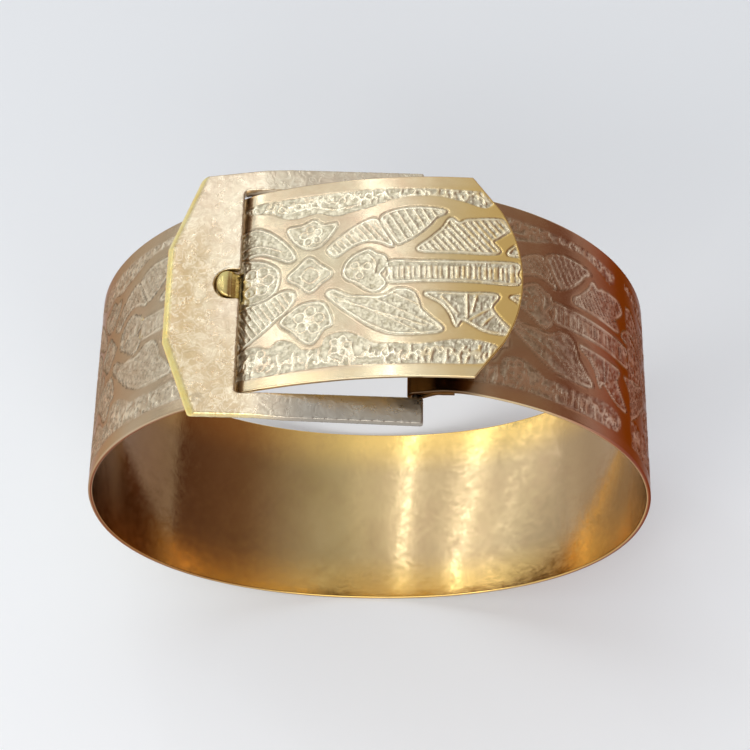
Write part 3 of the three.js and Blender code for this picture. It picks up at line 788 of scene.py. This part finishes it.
def build_strap():
    stations, first_fine, slot_left, slot_right = strap_stations()
    points, normals = on_line(stations)
    on_tip = stations > line_far[TIP_START]
    halves = half_width(points[:, 0], on_tip)
    outer_y = np.array([columns_across(h, EDGE_STEPS, SIDE_COLUMNS, MIDDLE_COLUMNS) for h in halves])
    inner_counts = (INNER_EDGE_STEPS, INNER_SIDE_COLUMNS, INNER_MIDDLE_COLUMNS)
    inner_y = np.array([columns_across(h, *inner_counts) for h in halves])
    x_axis, y_axis, motif = engrave()
    d = in_from_outline(points, outer_y, on_tip)
    place = np.repeat(motif_place(stations, points[:, 0])[:, None], outer_y.shape[1], 1)
    fade = smoothstep(d, 0.1, 0.4) * smoothstep(stations, PLAIN_LENGTH, PLAIN_LENGTH + 1)[:, None]
    maps = [sample_map(x_axis, y_axis, m, place, outer_y) * fade for m in motif]
    outer = lifted(points, normals, outer_y, HALF + maps[0] - round_over(d, EDGE_ROUND))
    sink = -(HALF - round_over(in_from_outline(points, inner_y, on_tip), EDGE_ROUND))
    inner = lifted(points, normals, inner_y, sink)
    return assemble_strap(stations, first_fine, (slot_left, slot_right), outer, inner, maps)


def assemble_strap(stations, first_fine, slot, outer, inner, maps):
    """Joins the outer and inner grids into one closed mesh, with the catch's slot through it."""
    rows, columns = outer.shape[:2]
    used = np.ones((rows, columns), bool)
    used[:first_fine, 1::2] = False
    outer_id = np.full((rows, columns), -1)
    outer_id[used] = np.arange(used.sum())
    inner_id = used.sum() + np.arange(rows * inner.shape[1]).reshape(rows, -1)
    in_slot = (stations[:-1] >= slot[0] - 1e-6) & (stations[1:] <= slot[1] + 1e-6)
    edge = len(EDGE_STEPS) - 1 + SIDE_COLUMNS
    middle = (edge, edge + MIDDLE_COLUMNS)
    inner_edge = len(INNER_EDGE_STEPS) - 1 + INNER_SIDE_COLUMNS
    inner_middle = (inner_edge, inner_edge + INNER_MIDDLE_COLUMNS)
    faces, slots = [], []

    def add(new, slot_number):
        faces.extend(new)
        slots.extend([slot_number] * len(new))

    def grid(ids, row_range, hole, flip, slot_number):
        a, b = row_range
        low, high = ids[a:b], ids[a + 1 : b + 1]
        quads = np.stack([low[:, :-1], high[:, :-1], high[:, 1:], low[:, 1:]], -1)
        if flip:
            quads = quads[..., ::-1]
        keep = np.ones(quads.shape[:2], bool)
        keep[np.ix_(in_slot[a:b], np.arange(hole[0], hole[1]))] = False
        add(quads[keep].tolist(), slot_number)

    coarse_id = outer_id[:, ::2]
    coarse_middle = (middle[0] // 2, middle[1] // 2)
    grid(coarse_id, (0, first_fine - 1), coarse_middle, False, 0)
    grid(outer_id, (first_fine, rows - 1), middle, False, 0)
    grid(inner_id, (0, rows - 1), inner_middle, True, 1)
    seam = first_fine - 1
    for c in range(0, columns - 1, 2):
        if not (in_slot[seam] and middle[0] <= c < middle[1]):
            low, high = outer_id[seam], outer_id[seam + 1]
            add([[low[c], high[c], high[c + 1], high[c + 2], low[c + 2]]], 0)
    all_along = np.ones(rows - 1, bool)
    walls = [
        (0, 0, all_along, True),
        (columns - 1, -1, all_along, False),
        (middle[0], inner_middle[0], in_slot, False),
        (middle[1], inner_middle[1], in_slot, True),
    ]
    for column, inner_column, kept, flip in walls:
        a, b = outer_id[:, column], inner_id[:, inner_column]
        wall = np.stack([a[:-1], a[1:], b[1:], b[:-1]], -1)[kept]
        add((wall[:, ::-1] if flip else wall).tolist(), 0)
    hole_rows = np.flatnonzero(in_slot)
    whole = ((0, columns), (0, inner.shape[1]))
    hole = ((middle[0], middle[1] + 1), (inner_middle[0], inner_middle[1] + 1))
    caps = [
        (0, whole, False),
        (rows - 1, whole, True),
        (hole_rows[0], hole, True),
        (hole_rows[-1] + 1, hole, False),
    ]
    for row, ((a, b), (c, d)), flip in caps:
        ring = [i for i in outer_id[row, a:b] if i >= 0] + list(inner_id[row, c:d][::-1])
        add([ring[::-1] if flip else ring], 0)
    vertices = np.vstack([outer[used], inner.reshape(-1, 3)])
    obj = new_mesh("strap_engraved", vertices, faces, [engraved_brass(), inner_brass()], slots)
    nothing = np.zeros(inner.shape[0] * inner.shape[1])
    for name, values in zip(("ground", "lip", "line"), maps[1:]):
        point_attribute(obj, name, np.concatenate([values[used], nothing]))
    outer_far = np.repeat(stations[:, None], columns, 1)[used]
    far = np.concatenate([outer_far, np.repeat(stations, inner.shape[1])])
    tone_strap(obj, vertices, far, np.arange(len(vertices)) >= used.sum())
    return obj


def tone_strap(obj, vertices, far, inside):
    """Marks where the strap is more golden, duller, redder or darker (tarnish and painted reflection) or
    shaded (a painted shadow under the tip), and where its edges are brighter (a golden edge tone, with a
    painted highlight on the near edge).
    """
    x, y = vertices.T[:2]
    tip = far > line_far[TIP_START]
    right = (far < line_far[-1] * 0.45) & ~tip
    golden_tip = 0.08 + 0.8 * smoothstep(x, 1.0, 14.0)
    golden = np.where(tip, golden_tip, 0.15 + 0.2 * smoothstep(x, 15.0, 23.0))
    golden = np.where(inside, smoothstep(-x, -8.0, 6.0), golden)
    # Redder towards the right band's end: tarnish and a painted reflection of a dark red surround.
    outside_red = 0.36 * smoothstep(x, 16.5, 23.0) + 0.5 * smoothstep(x, 22.0, 29.0)
    red = np.where(right, outside_red, np.where(tip, 0.0, 0.06))
    # The inside darker to the left: tarnish and a painted dark reflection.
    inside_red = smoothstep(-x, 12.5, 32.0) + 0.3 * smoothstep(x, 18.0, 31.0)
    red = np.where(inside, inside_red, red)
    edge = np.abs(y) / STRAP_HALF
    # The near edge is painted paler than the far edge: a golden edge tone with a painted highlight.
    rim = smoothstep(edge, 0.87, 0.93) * np.where(y < 0, 0.5, 0.15)
    point_attribute(obj, "gold", golden)
    point_attribute(obj, "dull", smoothstep(-x, 13.0, 22.0))
    point_attribute(obj, "red", red)
    # shade: a painted shadow over the fold and the strap's start, which lie under the tip.
    point_attribute(obj, "shade", 1 - smoothstep(far, PLAIN_LENGTH + 0.5, PLAIN_LENGTH + 5.0))
    point_attribute(obj, "rim", np.where(inside, smoothstep(edge, 0.45, 0.98) * 0.85, rim))


# ---- Plates made from an outline ----


def offset_rings(outline, distances, spacing):
    """Points inside an outline at set distances from it."""
    rings = []
    closed = np.vstack([outline, outline[:1]])
    far = np.concatenate([[0], np.cumsum(np.linalg.norm(np.diff(closed, axis=0), axis=1))])
    even = np.arange(0, far[-1], spacing)
    along = np.stack([np.interp(even, far, closed[:, k]) for k in (0, 1)], 1)
    step = np.roll(along, -1, 0) - np.roll(along, 1, 0)
    inward = np.stack([-step[:, 1], step[:, 0]], 1) / np.linalg.norm(step, axis=1)[:, None]
    for distance in distances:
        ring = along + inward * distance
        keep = inside_distance(ring[:, 0], ring[:, 1], outline) > distance * 0.93
        rings.append(ring[keep])
    return np.vstack(rings)


def plate(name, outline, place, step, distances, materials):
    """A closed plate over an anticlockwise outline: place(u, v, d, top) gives the points of either face."""
    outline = np.asarray(outline, float)
    low, high = outline.min(0), outline.max(0)
    u, v = np.meshgrid(np.arange(low[0], high[0], step), np.arange(low[1], high[1], step))
    u, v = u.ravel(), v.ravel()
    keep = inside_distance(u, v, outline) > distances[-1] + step * 0.4
    rings = offset_rings(outline, distances, step)
    points = np.vstack([outline, rings, np.stack([u[keep], v[keep]], 1)])
    count = len(outline)
    rim = [(i, (i + 1) % count) for i in range(count)]
    found = delaunay_2d_cdt([Vector(p) for p in points.tolist()], rim, [list(range(count))], 1, 1e-6)
    flat = np.array([tuple(p) for p in found[0]])
    triangles = np.array(found[2])
    edges = np.vstack([triangles[:, [0, 1]], triangles[:, [1, 2]], triangles[:, [2, 0]]])
    _, first, counts = np.unique(np.sort(edges, 1), axis=0, return_index=True, return_counts=True)
    border = edges[first[counts == 1]]
    d = np.maximum(inside_distance(flat[:, 0], flat[:, 1], outline), 0)
    top = place(flat[:, 0], flat[:, 1], d, True)
    under = place(flat[:, 0], flat[:, 1], d, False)
    n = len(flat)
    faces = triangles.tolist() + (triangles[:, ::-1] + n).tolist()
    faces += np.stack([border[:, 0], border[:, 0] + n, border[:, 1] + n, border[:, 1]], -1).tolist()
    return new_mesh(name, np.vstack([top, under]), faces, materials), d


def arc(cx, cy, radius, start, end, count):
    angles = np.radians(np.linspace(start, end, count))
    return [(cx + radius * math.cos(a), cy + radius * math.sin(a)) for a in angles]


# ---- The frame ----

FRAME_THICKNESS = 0.9
BAR_LEFT, BEND_X, ARM_END = frame_low[0], -11.7, frame_high[0]
BAR_LEFT_Z, BEND_Z, ARM_END_Z = LOOP_DROP + 29.6, LOOP_DROP + 30.8, LOOP_DROP + 30.2
BAR_LEFT_HALF, CORNER_X, CORNER_HALF, ARM_ROOT_HALF, ARM_HALF = 5.6, -18.7, 14.2, 14.85, frame_high[1]
BEVEL, BEVEL_DROP, EDGE_BREAK, CORNER_EASE = 0.75, 0.62, 0.16, 0.25
ARM_START, BEND_SOFTNESS = BEND_X + 2.7, 0.35 * 0.08
CORNER_LIP = 0.6


def frame_outline():
    """The frame's plan, anticlockwise, with slightly eased corners."""
    ease = CORNER_EASE
    low, high = CATCH_Y - NOTCH_RADIUS, CATCH_Y + NOTCH_RADIUS
    corner_x = WINDOW_LEFT + WINDOW_CORNER
    right_side = [
        *arc(ARM_END - ease, -ARM_HALF + ease, ease, -90, 0, 4),
        *arc(ARM_END - ease, -WINDOW_HALF - ease, ease, 0, 90, 4),
        *arc(corner_x, -WINDOW_HALF + WINDOW_CORNER, WINDOW_CORNER, 270, 180, 6),
        (WINDOW_LEFT, low - 0.35),
        (WINDOW_LEFT - 0.1, low - 0.1),
        (WINDOW_LEFT - 0.35, low),
        *arc(NOTCH_X, CATCH_Y, NOTCH_RADIUS, 270, 90, 25),
        (WINDOW_LEFT - 0.35, high),
        (WINDOW_LEFT - 0.1, high + 0.1),
        (WINDOW_LEFT, high + 0.35),
        *arc(corner_x, WINDOW_FAR_HALF - WINDOW_CORNER, WINDOW_CORNER, 180, 90, 6),
        *arc(ARM_END - ease, WINDOW_HALF + ease, ease, 270, 360, 4),
        *arc(ARM_END - ease, ARM_HALF - ease, ease, 0, 90, 4),
    ]
    left_side = [
        (ARM_START, ARM_ROOT_HALF),
        *arc(CORNER_X + 0.35, CORNER_HALF - 0.45, 0.5, 98, 155, 5),
        *arc(BAR_LEFT + 0.6, BAR_LEFT_HALF - 0.1, 0.6, 163, 180, 3),
    ]
    mirrored = [(x, -y) for x, y in left_side[::-1]]
    return np.array(densify(right_side + left_side + mirrored, 0.3))


def densify(points, spacing):
    """A closed outline with no side longer than the spacing."""
    made = []
    for a, b in zip(points, points[1:] + points[:1]):
        parts = max(1, int(math.ceil(math.dist(a, b) / spacing)))
        dx, dy = b[0] - a[0], b[1] - a[1]
        made += [(a[0] + dx * k / parts, a[1] + dy * k / parts) for k in range(parts)]
    return made


def frame_top(x):
    """The frame's top, a bent line with a small radius at the bend."""
    left = BAR_LEFT_Z + (x - BAR_LEFT) * (BEND_Z - BAR_LEFT_Z) / (BEND_X - BAR_LEFT)
    right = BEND_Z + (x - BEND_X) * (ARM_END_Z - BEND_Z) / (ARM_END - BEND_X)
    return (left + right) / 2 - np.sqrt(((left - right) / 2) ** 2 + BEND_SOFTNESS**2)


def outer_edge_distance(x, y):
    """Distance from the bar's outer edges only, which have the wide bevel."""
    far_corner, far_end = (CORNER_X, CORNER_HALF), (BAR_LEFT, BAR_LEFT_HALF)
    near_end, near_corner = (BAR_LEFT, -BAR_LEFT_HALF), (CORNER_X, -CORNER_HALF)
    return line_distance(x, y, [far_corner, far_end, near_end, near_corner])


# Small dents in the bar: x, y, radius and depth.
DINGS = [
    (-17.8, -12.6, 0.5, 0.16), (-19.2, 4.0, 0.35, 0.05),
    (-16.4, 9.5, 0.4, 0.05), (-15.9, -5.2, 0.5, 0.05),
]


def build_frame():
    def place(x, y, d, top):
        bar = smoothstep(-x, 11.0, 15.5)
        outer = outer_edge_distance(x, y)
        z = frame_top(x)
        if top:
            z = z - round_over(d, EDGE_BREAK) - BEVEL_DROP * bar * np.clip(1 - outer / BEVEL, 0, 1) ** 1.35
            for cx, cy, radius, depth in DINGS:
                z = z - depth * np.exp(-(((x - cx) ** 2 + (y - cy) ** 2) / radius**2))
            ripple = np.sin(x * 1.9 + y * 0.7) * np.sin(y * 1.3 - x * 0.4)
            z = z + 0.012 * ripple * smoothstep(d, 0.3, 1.0)
        else:
            # a low lip under the window's far corner closes the gap beside the strap
            lip = smoothstep(x, WINDOW_LEFT - 0.6, WINDOW_LEFT) * (1 - smoothstep(x, -13.0, -8.0))
            lip = lip * smoothstep(y, 11.95, 12.15) * (1 - smoothstep(y, 12.8, 13.8))
            z = z - FRAME_THICKNESS + round_over(d, EDGE_BREAK) - CORNER_LIP * lip
        return np.stack([x, y, z], 1)

    rings = (0.03, 0.08, 0.16, 0.3, 0.5, BEVEL)
    obj, in_from_edge = plate("frame_plate", frame_outline(), place, 0.24, rings, [satin_brass()])
    x, y, z = (np.array([v.co for v in obj.data.vertices]) / MM).T
    outer = outer_edge_distance(x, y)
    near_side = segment_distance(x, y, (CORNER_X, -CORNER_HALF), (ARM_START, -ARM_ROOT_HALF))
    # A thin painted highlight line along the near side, and the bar's wide bevels, also painted as
    # highlight.
    near_edge_highlight = 0.5 * (1 - smoothstep(near_side, 0.05, 0.2)) * smoothstep(-x, 9.0, 13.0)
    bevelled = (1 - smoothstep(outer, 0.35, BEVEL + 0.15)) * smoothstep(-x, 9.0, 15.0)
    point_attribute(obj, "edge", np.maximum(bevelled, near_edge_highlight))
    low_side = 0.75 * smoothstep(-y, 0.0, 9.0)
    warm = smoothstep(-x, 14.0, 19.5) * smoothstep(-y, -13.0, -2.0)
    point_attribute(obj, "warm", np.maximum(warm, low_side * smoothstep(-x, 11.0, 14.0)))
    arm = smoothstep(np.abs(y), WINDOW_HALF - 0.5, WINDOW_HALF + 0.4)
    point_attribute(obj, "grey", arm * smoothstep(x, -12.5, -6.0) * np.where(y < 0, 0.85, 0.2))
    in_window = (x > WINDOW_LEFT - 3) & (np.abs(y) < WINDOW_FAR_HALF + 0.01)
    on_wall = np.tile(in_from_edge, 2) < 0.02
    # wall: painted shade on the window's inner walls, below the frame's top.
    point_attribute(obj, "wall", smoothstep(frame_top(x) - z, 0.12, 0.5) * in_window * on_wall)
    sharpen(obj, 70)
    return obj


# ---- The catch ----

TOOTH_RADIUS, TOOTH_LEFT, TOOTH_RIGHT = 1.58, tooth_low[0], tooth_high[0]
GRIP_LINES, GRIP_PITCH, GRIP_DEPTH, GRIP_WIDTH, GRIP_START = 3, 0.4, 0.06, 0.09, 0.1
TOOTH_CORNER = 0.15
TOOTH_FOOT = LOOP_DROP + 28.3
LEAF_WIDTH, LEAF_THICKNESS, LEAF_GAP, LEAF_LENGTH = 4.2, 0.28, 0.15, 15.0
LEAF_PAST_TOOTH, LEAF_ROOT_CORNER, LEAF_END_CORNER = 0.5, 0.8, 0.5
LEAF_HELD, LEAF_FREE = 1.8, 4.5


def build_tooth():
    centre = TOOTH_LEFT + TOOTH_RADIUS
    outline = [
        (TOOTH_RIGHT, CATCH_Y - TOOTH_RADIUS + TOOTH_CORNER),
        (TOOTH_RIGHT, CATCH_Y + TOOTH_RADIUS - TOOTH_CORNER),
        (TOOTH_RIGHT - TOOTH_CORNER, CATCH_Y + TOOTH_RADIUS),
        *arc(centre, CATCH_Y, TOOTH_RADIUS, 90, 270, 31),
        (TOOTH_RIGHT - TOOTH_CORNER, CATCH_Y - TOOTH_RADIUS),
    ]
    crest = tooth_high[2]
    profile = [
        (TOOTH_LEFT, crest - 0.5),
        (TOOTH_LEFT + 0.25, crest - 0.16),
        (TOOTH_LEFT + 0.8, crest),
        (TOOTH_LEFT + 1.6, crest - 0.2),
        (TOOTH_RIGHT - 0.3, crest - 0.95),
        (TOOTH_RIGHT, crest - 1.5),
    ]
    ridge_line = catmull(profile, 60)

    def place(x, y, d, top):
        if top:
            crown = 0.34 * (np.abs(y - CATCH_Y) / TOOTH_RADIUS) ** 2.2
            z = np.interp(x, ridge_line[:, 0], ridge_line[:, 1]) - crown
            for k in range(GRIP_LINES):
                away = x - centre + GRIP_START - GRIP_PITCH * k
                z = z - GRIP_DEPTH * np.exp(-((away / GRIP_WIDTH) ** 2))
            z = np.maximum(z - round_over(d, 0.2), TOOTH_FOOT + 0.25)
        else:
            under, normal = on_line(np.array([free_end_far(v) for v in x]))
            z = under[:, 1] - (HALF + LEAF_GAP - 0.02) / normal[:, 1]
        return np.stack([x, y, z], 1)

    outline = np.array(densify(outline, 0.12))
    obj, _ = plate("catch_tooth_domed", outline, place, 0.11, (0.02, 0.05, 0.1, 0.2), [bright_brass()])
    sharpen(obj, 55)
    return obj


def build_leaf(steel):
    end = free_end_far(TOOTH_RIGHT + LEAF_PAST_TOOTH)
    start = end - LEAF_LENGTH
    w, r, e = LEAF_WIDTH / 2, LEAF_ROOT_CORNER, LEAF_END_CORNER
    outline = [
        *arc(start + r, CATCH_Y - w + r, r, 180, 270, 7),
        *arc(end - e, CATCH_Y - w + e, e, 270, 360, 5),
        *arc(end - e, CATCH_Y + w - e, e, 0, 90, 5),
        *arc(start + r, CATCH_Y + w - r, r, 90, 180, 7),
    ]

    def place(u, y, d, top):
        points, normals = on_line(u)
        level = -HALF - LEAF_GAP - (0 if top else LEAF_THICKNESS)
        level = level + (-1 if top else 1) * round_over(d, 0.07)
        moved = points + normals * level[:, None]
        return np.stack([moved[:, 0], y, moved[:, 1]], 1)

    obj, _ = plate("leaf_spring", np.array(densify(outline, 0.3)), place, 0.3, (0.03, 0.07, 0.2), [steel])
    sharpen(obj, 50)
    ends, _ = on_line(np.array([start + LEAF_HELD, end - LEAF_FREE]))
    root, free = [(x * MM, 0, z * MM) for x, z in ends]
    return obj, root, free


# ---- Pins and rivets ----

RIVET_SHANK, RIVET_HEAD_HEIGHT, CHAMFER = 0.42, 0.32, 0.05


def turned(name, profile, centre, axis, material, sides=40):
    """A turned piece: profile is (distance along the axis, radius) from end to end, about a centre."""
    axis = Vector(axis).normalized()
    side = axis.orthogonal().normalized()
    other = axis.cross(side)
    points, faces = [], []
    for along, radius in profile:
        for k in range(sides):
            a = 2 * math.pi * k / sides
            out = side * math.cos(a) * radius + other * math.sin(a) * radius
            points.append(np.array(centre) + np.array(axis * along + out))
    rings = len(profile)
    for i in range(rings - 1):
        for k in range(sides):
            a, b = i * sides + k, i * sides + (k + 1) % sides
            faces.append([a, b, b + sides, a + sides])
    faces.append(list(range(sides))[::-1])
    faces.append(list(range((rings - 1) * sides, rings * sides)))
    obj = new_mesh(name, points, faces, [material])
    sharpen(obj, 40)
    return obj


def dome(start, height, radius, steps=7):
    """A low domed head's profile, from its rim to its crown."""
    angles = np.linspace(0, math.pi / 2 * 0.96, steps)
    return [(start + height * math.sin(a), radius * math.cos(a)) for a in angles]


def build_pin(steel):
    length = pin_high[1] - pin_low[1]
    end, r = length / 2, PIN_RADIUS
    profile = [(-end, r - 0.12), (-end + 0.04, r - 0.05), (-end + 0.14, r), (-end + 0.9, r)]
    profile.append((-end + 0.94, r - 0.02))
    profile = profile + [(-a, b) for a, b in profile[::-1]]
    return turned("hinge_pin", profile, (pin_low + pin_high) / 2, (0, 1, 0), steel)


def build_rivet(node, material):
    """A rivet along the strap's normal, with a domed head at each end where the CAD rivet has one."""
    low, high = box_mm(node)
    centre = (low + high) / 2
    co = np.array([v.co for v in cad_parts[node].data.vertices]) / MM - centre
    direction = np.linalg.svd(co[:, [0, 2]], full_matrices=False)[2]
    near = np.argmin(np.hypot(line_points[:, 0] - centre[0], line_points[:, 1] - centre[2]))
    normal = line_normals[near]
    axis = max(direction, key=lambda v: abs(v @ normal))
    axis = axis * np.sign(axis @ normal)
    along = co[:, [0, 2]] @ axis
    radius = np.sqrt(np.maximum((co**2).sum(1) - along**2, 0))
    low_end, high_end = along.min(), along.max()
    head, shank, tall = radius.max(), RIVET_SHANK, RIVET_HEAD_HEIGHT
    low_head = radius[along < low_end + tall * 0.5].max() > shank * 1.3
    high_head = radius[along > high_end - tall * 0.5].max() > shank * 1.3
    profile = []
    if low_head:
        profile += [(2 * (low_end + tall) - a, r) for a, r in dome(low_end + tall, tall, head)][::-1]
        profile += [(low_end + tall, shank)]
    else:
        profile += [(low_end, shank - CHAMFER), (low_end + CHAMFER, shank)]
    if high_head:
        profile += [(high_end - tall, shank), *dome(high_end - tall, tall, head)]
    else:
        profile += [(high_end - CHAMFER, shank), (high_end, shank - CHAMFER)]
    return turned(node + "_domed", profile, centre, (axis[0], 0, axis[1]), material, 28)


# ---- Floor, light and camera ----

CAMERA_ELEVATION, CAMERA_ROLL, CAMERA_DISTANCE = math.radians(64.37), math.radians(1.02), 219.5
CAMERA_LENS, CAMERA_SHIFT = 88.1, (0.0056, 0.0572)
LOOP_CENTRE = Vector((0, 0, LOOP_DROP * MM))
FLOOR_HALF, FLOOR_BACK, FLOOR_FRONT = 3.0, (0.865, 0.89, 0.91), (0.98, 0.99, 1.0)
ROOM_PALE, ROOM_DARK, ROOM_STRENGTH = (0.92, 0.96, 1.0), (0.32, 0.195, 0.15), 0.78
# Lights: name, direction, distance, radiance, width, height and colour.
SOFTBOXES = (
    ("back_softbox", (-0.35, 0.43, 0.83), 0.6, 0.22, 0.45, 0.4, (1.0, 0.97, 0.92)),
    ("front_softbox", (-0.55, -0.60, 0.60), 0.7, 3.4, 0.3, 0.3, (1.0, 0.98, 0.95)),
    ("low_front_softbox", (0.05, -0.80, 0.60), 0.8, 2.2, 0.6, 0.4, (0.98, 0.99, 1.0)),
)
STREAK_COLOUR = (0.88, 0.95, 1.05)
# Streaks seen inside the loop: degrees from its lowest point, radiance and the light's width.
INSIDE_STREAKS = ((6.0, 4.4, 0.022), (20.0, 4.4, 0.020), (31.5, 2.6, 0.010), (38.5, 2.0, 0.007))


def make_floor():
    mesh = bpy.data.meshes.new("floor")
    corners = [(x * FLOOR_HALF, y * FLOOR_HALF, 0) for x, y in ((-1, -1), (1, -1), (1, 1), (-1, 1))]
    mesh.from_pydata(corners, [], [(0, 1, 2, 3)])
    g = Graph("pale_floor")
    g.shader.inputs["Metallic"].default_value = 0.0
    g.shader.inputs["Specular IOR Level"].default_value = 0.2
    depth = g.node("SeparateXYZ", [(0, g.place)]).outputs["Y"]
    # The floor's colour is painted paler towards the front: painted light that evens out its darker front.
    towards_front = g.ramp(depth, 0.06, -0.07)
    g.put(g.shader.inputs["Base Color"], g.mix(towards_front, FLOOR_BACK, FLOOR_FRONT))
    g.shader.inputs["Roughness"].default_value = 0.9
    mesh.materials.append(g.material)
    floor = bpy.data.objects.new("floor", mesh)
    bpy.context.scene.collection.objects.link(floor)


def area_light(name, direction, distance, radiance, width, height, colour):
    """A rectangular light that faces the loop's centre, with a set radiance over its face."""
    light = bpy.data.lights.new(name, "AREA")
    light.shape, light.size, light.size_y = "RECTANGLE", width, height
    light.energy = radiance * math.pi * width * height
    light.color = colour
    obj = bpy.data.objects.new(name, light)
    towards = Vector(direction).normalized()
    obj.location = LOOP_CENTRE + towards * distance
    obj.rotation_euler = (-towards).to_track_quat("-Z", "Y").to_euler()
    bpy.context.scene.collection.objects.link(obj)


def inside_mirror(degrees):
    """The mirrored direction of the front view off the loop's inside, at degrees from its lowest point."""
    a = math.radians(2 * degrees)
    el = CAMERA_ELEVATION
    return (-math.sin(el) * math.sin(a), math.cos(el), math.sin(el) * math.cos(a))


def make_world():
    """A pale room that lights the part darker and browner from the right, behind an even pale backdrop."""
    world = bpy.data.worlds.new("soft_room")
    world.use_nodes = True
    tree = world.node_tree
    place = tree.nodes.new("ShaderNodeTexCoord")
    parts = tree.nodes.new("ShaderNodeSeparateXYZ")
    tree.links.new(place.outputs["Generated"], parts.inputs[0])
    ramp = tree.nodes.new("ShaderNodeValToRGB")
    ramp.color_ramp.interpolation = "EASE"
    for element, position, colour in zip(ramp.color_ramp.elements, (0.5, 0.88), (ROOM_PALE, ROOM_DARK)):
        element.position = position
        element.color = (*colour, 1)
    half = tree.nodes.new("ShaderNodeMapRange")
    half.inputs[1].default_value = -1.0
    tree.links.new(parts.outputs[0], half.inputs[0])
    tree.links.new(half.outputs[0], ramp.inputs[0])
    seen = tree.nodes.new("ShaderNodeLightPath")
    backdrop = tree.nodes.new("ShaderNodeMix")
    backdrop.data_type = "RGBA"
    tree.links.new(seen.outputs["Is Camera Ray"], backdrop.inputs[0])
    tree.links.new(ramp.outputs[0], backdrop.inputs[6])
    backdrop.inputs[7].default_value = (*ROOM_PALE, 1)
    tree.links.new(backdrop.outputs[2], tree.nodes["Background"].inputs["Color"])
    tree.nodes["Background"].inputs["Strength"].default_value = ROOM_STRENGTH
    bpy.context.scene.world = world


def make_light():
    make_world()
    for softbox in SOFTBOXES:
        area_light(*softbox)
    for degrees, radiance, width in INSIDE_STREAKS:
        area_light("strip_light", inside_mirror(degrees), 0.6, radiance, width, 0.5, STREAK_COLOUR)
    bpy.context.scene.view_settings.view_transform = "Standard"


def make_camera():
    el, roll = CAMERA_ELEVATION, CAMERA_ROLL
    back = Vector((0, -math.cos(el), math.sin(el)))
    right, up = Vector((1, 0, 0)), Vector((0, math.sin(el), math.cos(el)))
    rolled_right = right * math.cos(roll) + up * math.sin(roll)
    rolled_up = up * math.cos(roll) - right * math.sin(roll)
    data = bpy.data.cameras.new("camera")
    data.lens, data.sensor_width = CAMERA_LENS, 36.0
    data.shift_x, data.shift_y = CAMERA_SHIFT
    data.clip_start, data.clip_end = 0.01, 10.0
    camera = bpy.data.objects.new("camera", data)
    spin = Matrix((rolled_right, rolled_up, back)).transposed().to_4x4()
    camera.matrix_world = Matrix.Translation(LOOP_CENTRE + back * CAMERA_DISTANCE * MM) @ spin
    bpy.context.scene.collection.objects.link(camera)
    bpy.context.scene.camera = camera


# ---- Everything together ----


def stand_for(piece, node, body):
    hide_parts(node)
    if body:
        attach(piece, body)


def main():
    make_camera()
    make_floor()
    make_light()
    steel = small_metal("spring_steel", STEEL, STEEL_STAIN)
    rivet_brass = small_metal("rivet_brass", RIVET_BRASS, RIVET_STAIN)
    stand_for(build_strap(), "strap", "bangle")
    stand_for(build_frame(), "buckle_frame", "buckle")
    stand_for(build_pin(steel), "crossbar_pin", "buckle")
    stand_for(build_tooth(), "catch_tooth", "catch")
    leaf, root, free = build_leaf(steel)
    stand_for(leaf, "catch_leaf_spring", None)
    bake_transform(leaf)
    for node in sorted(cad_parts):
        if "rivet" in node:
            stand_for(build_rivet(node, rivet_brass), node, "bangle")


main()
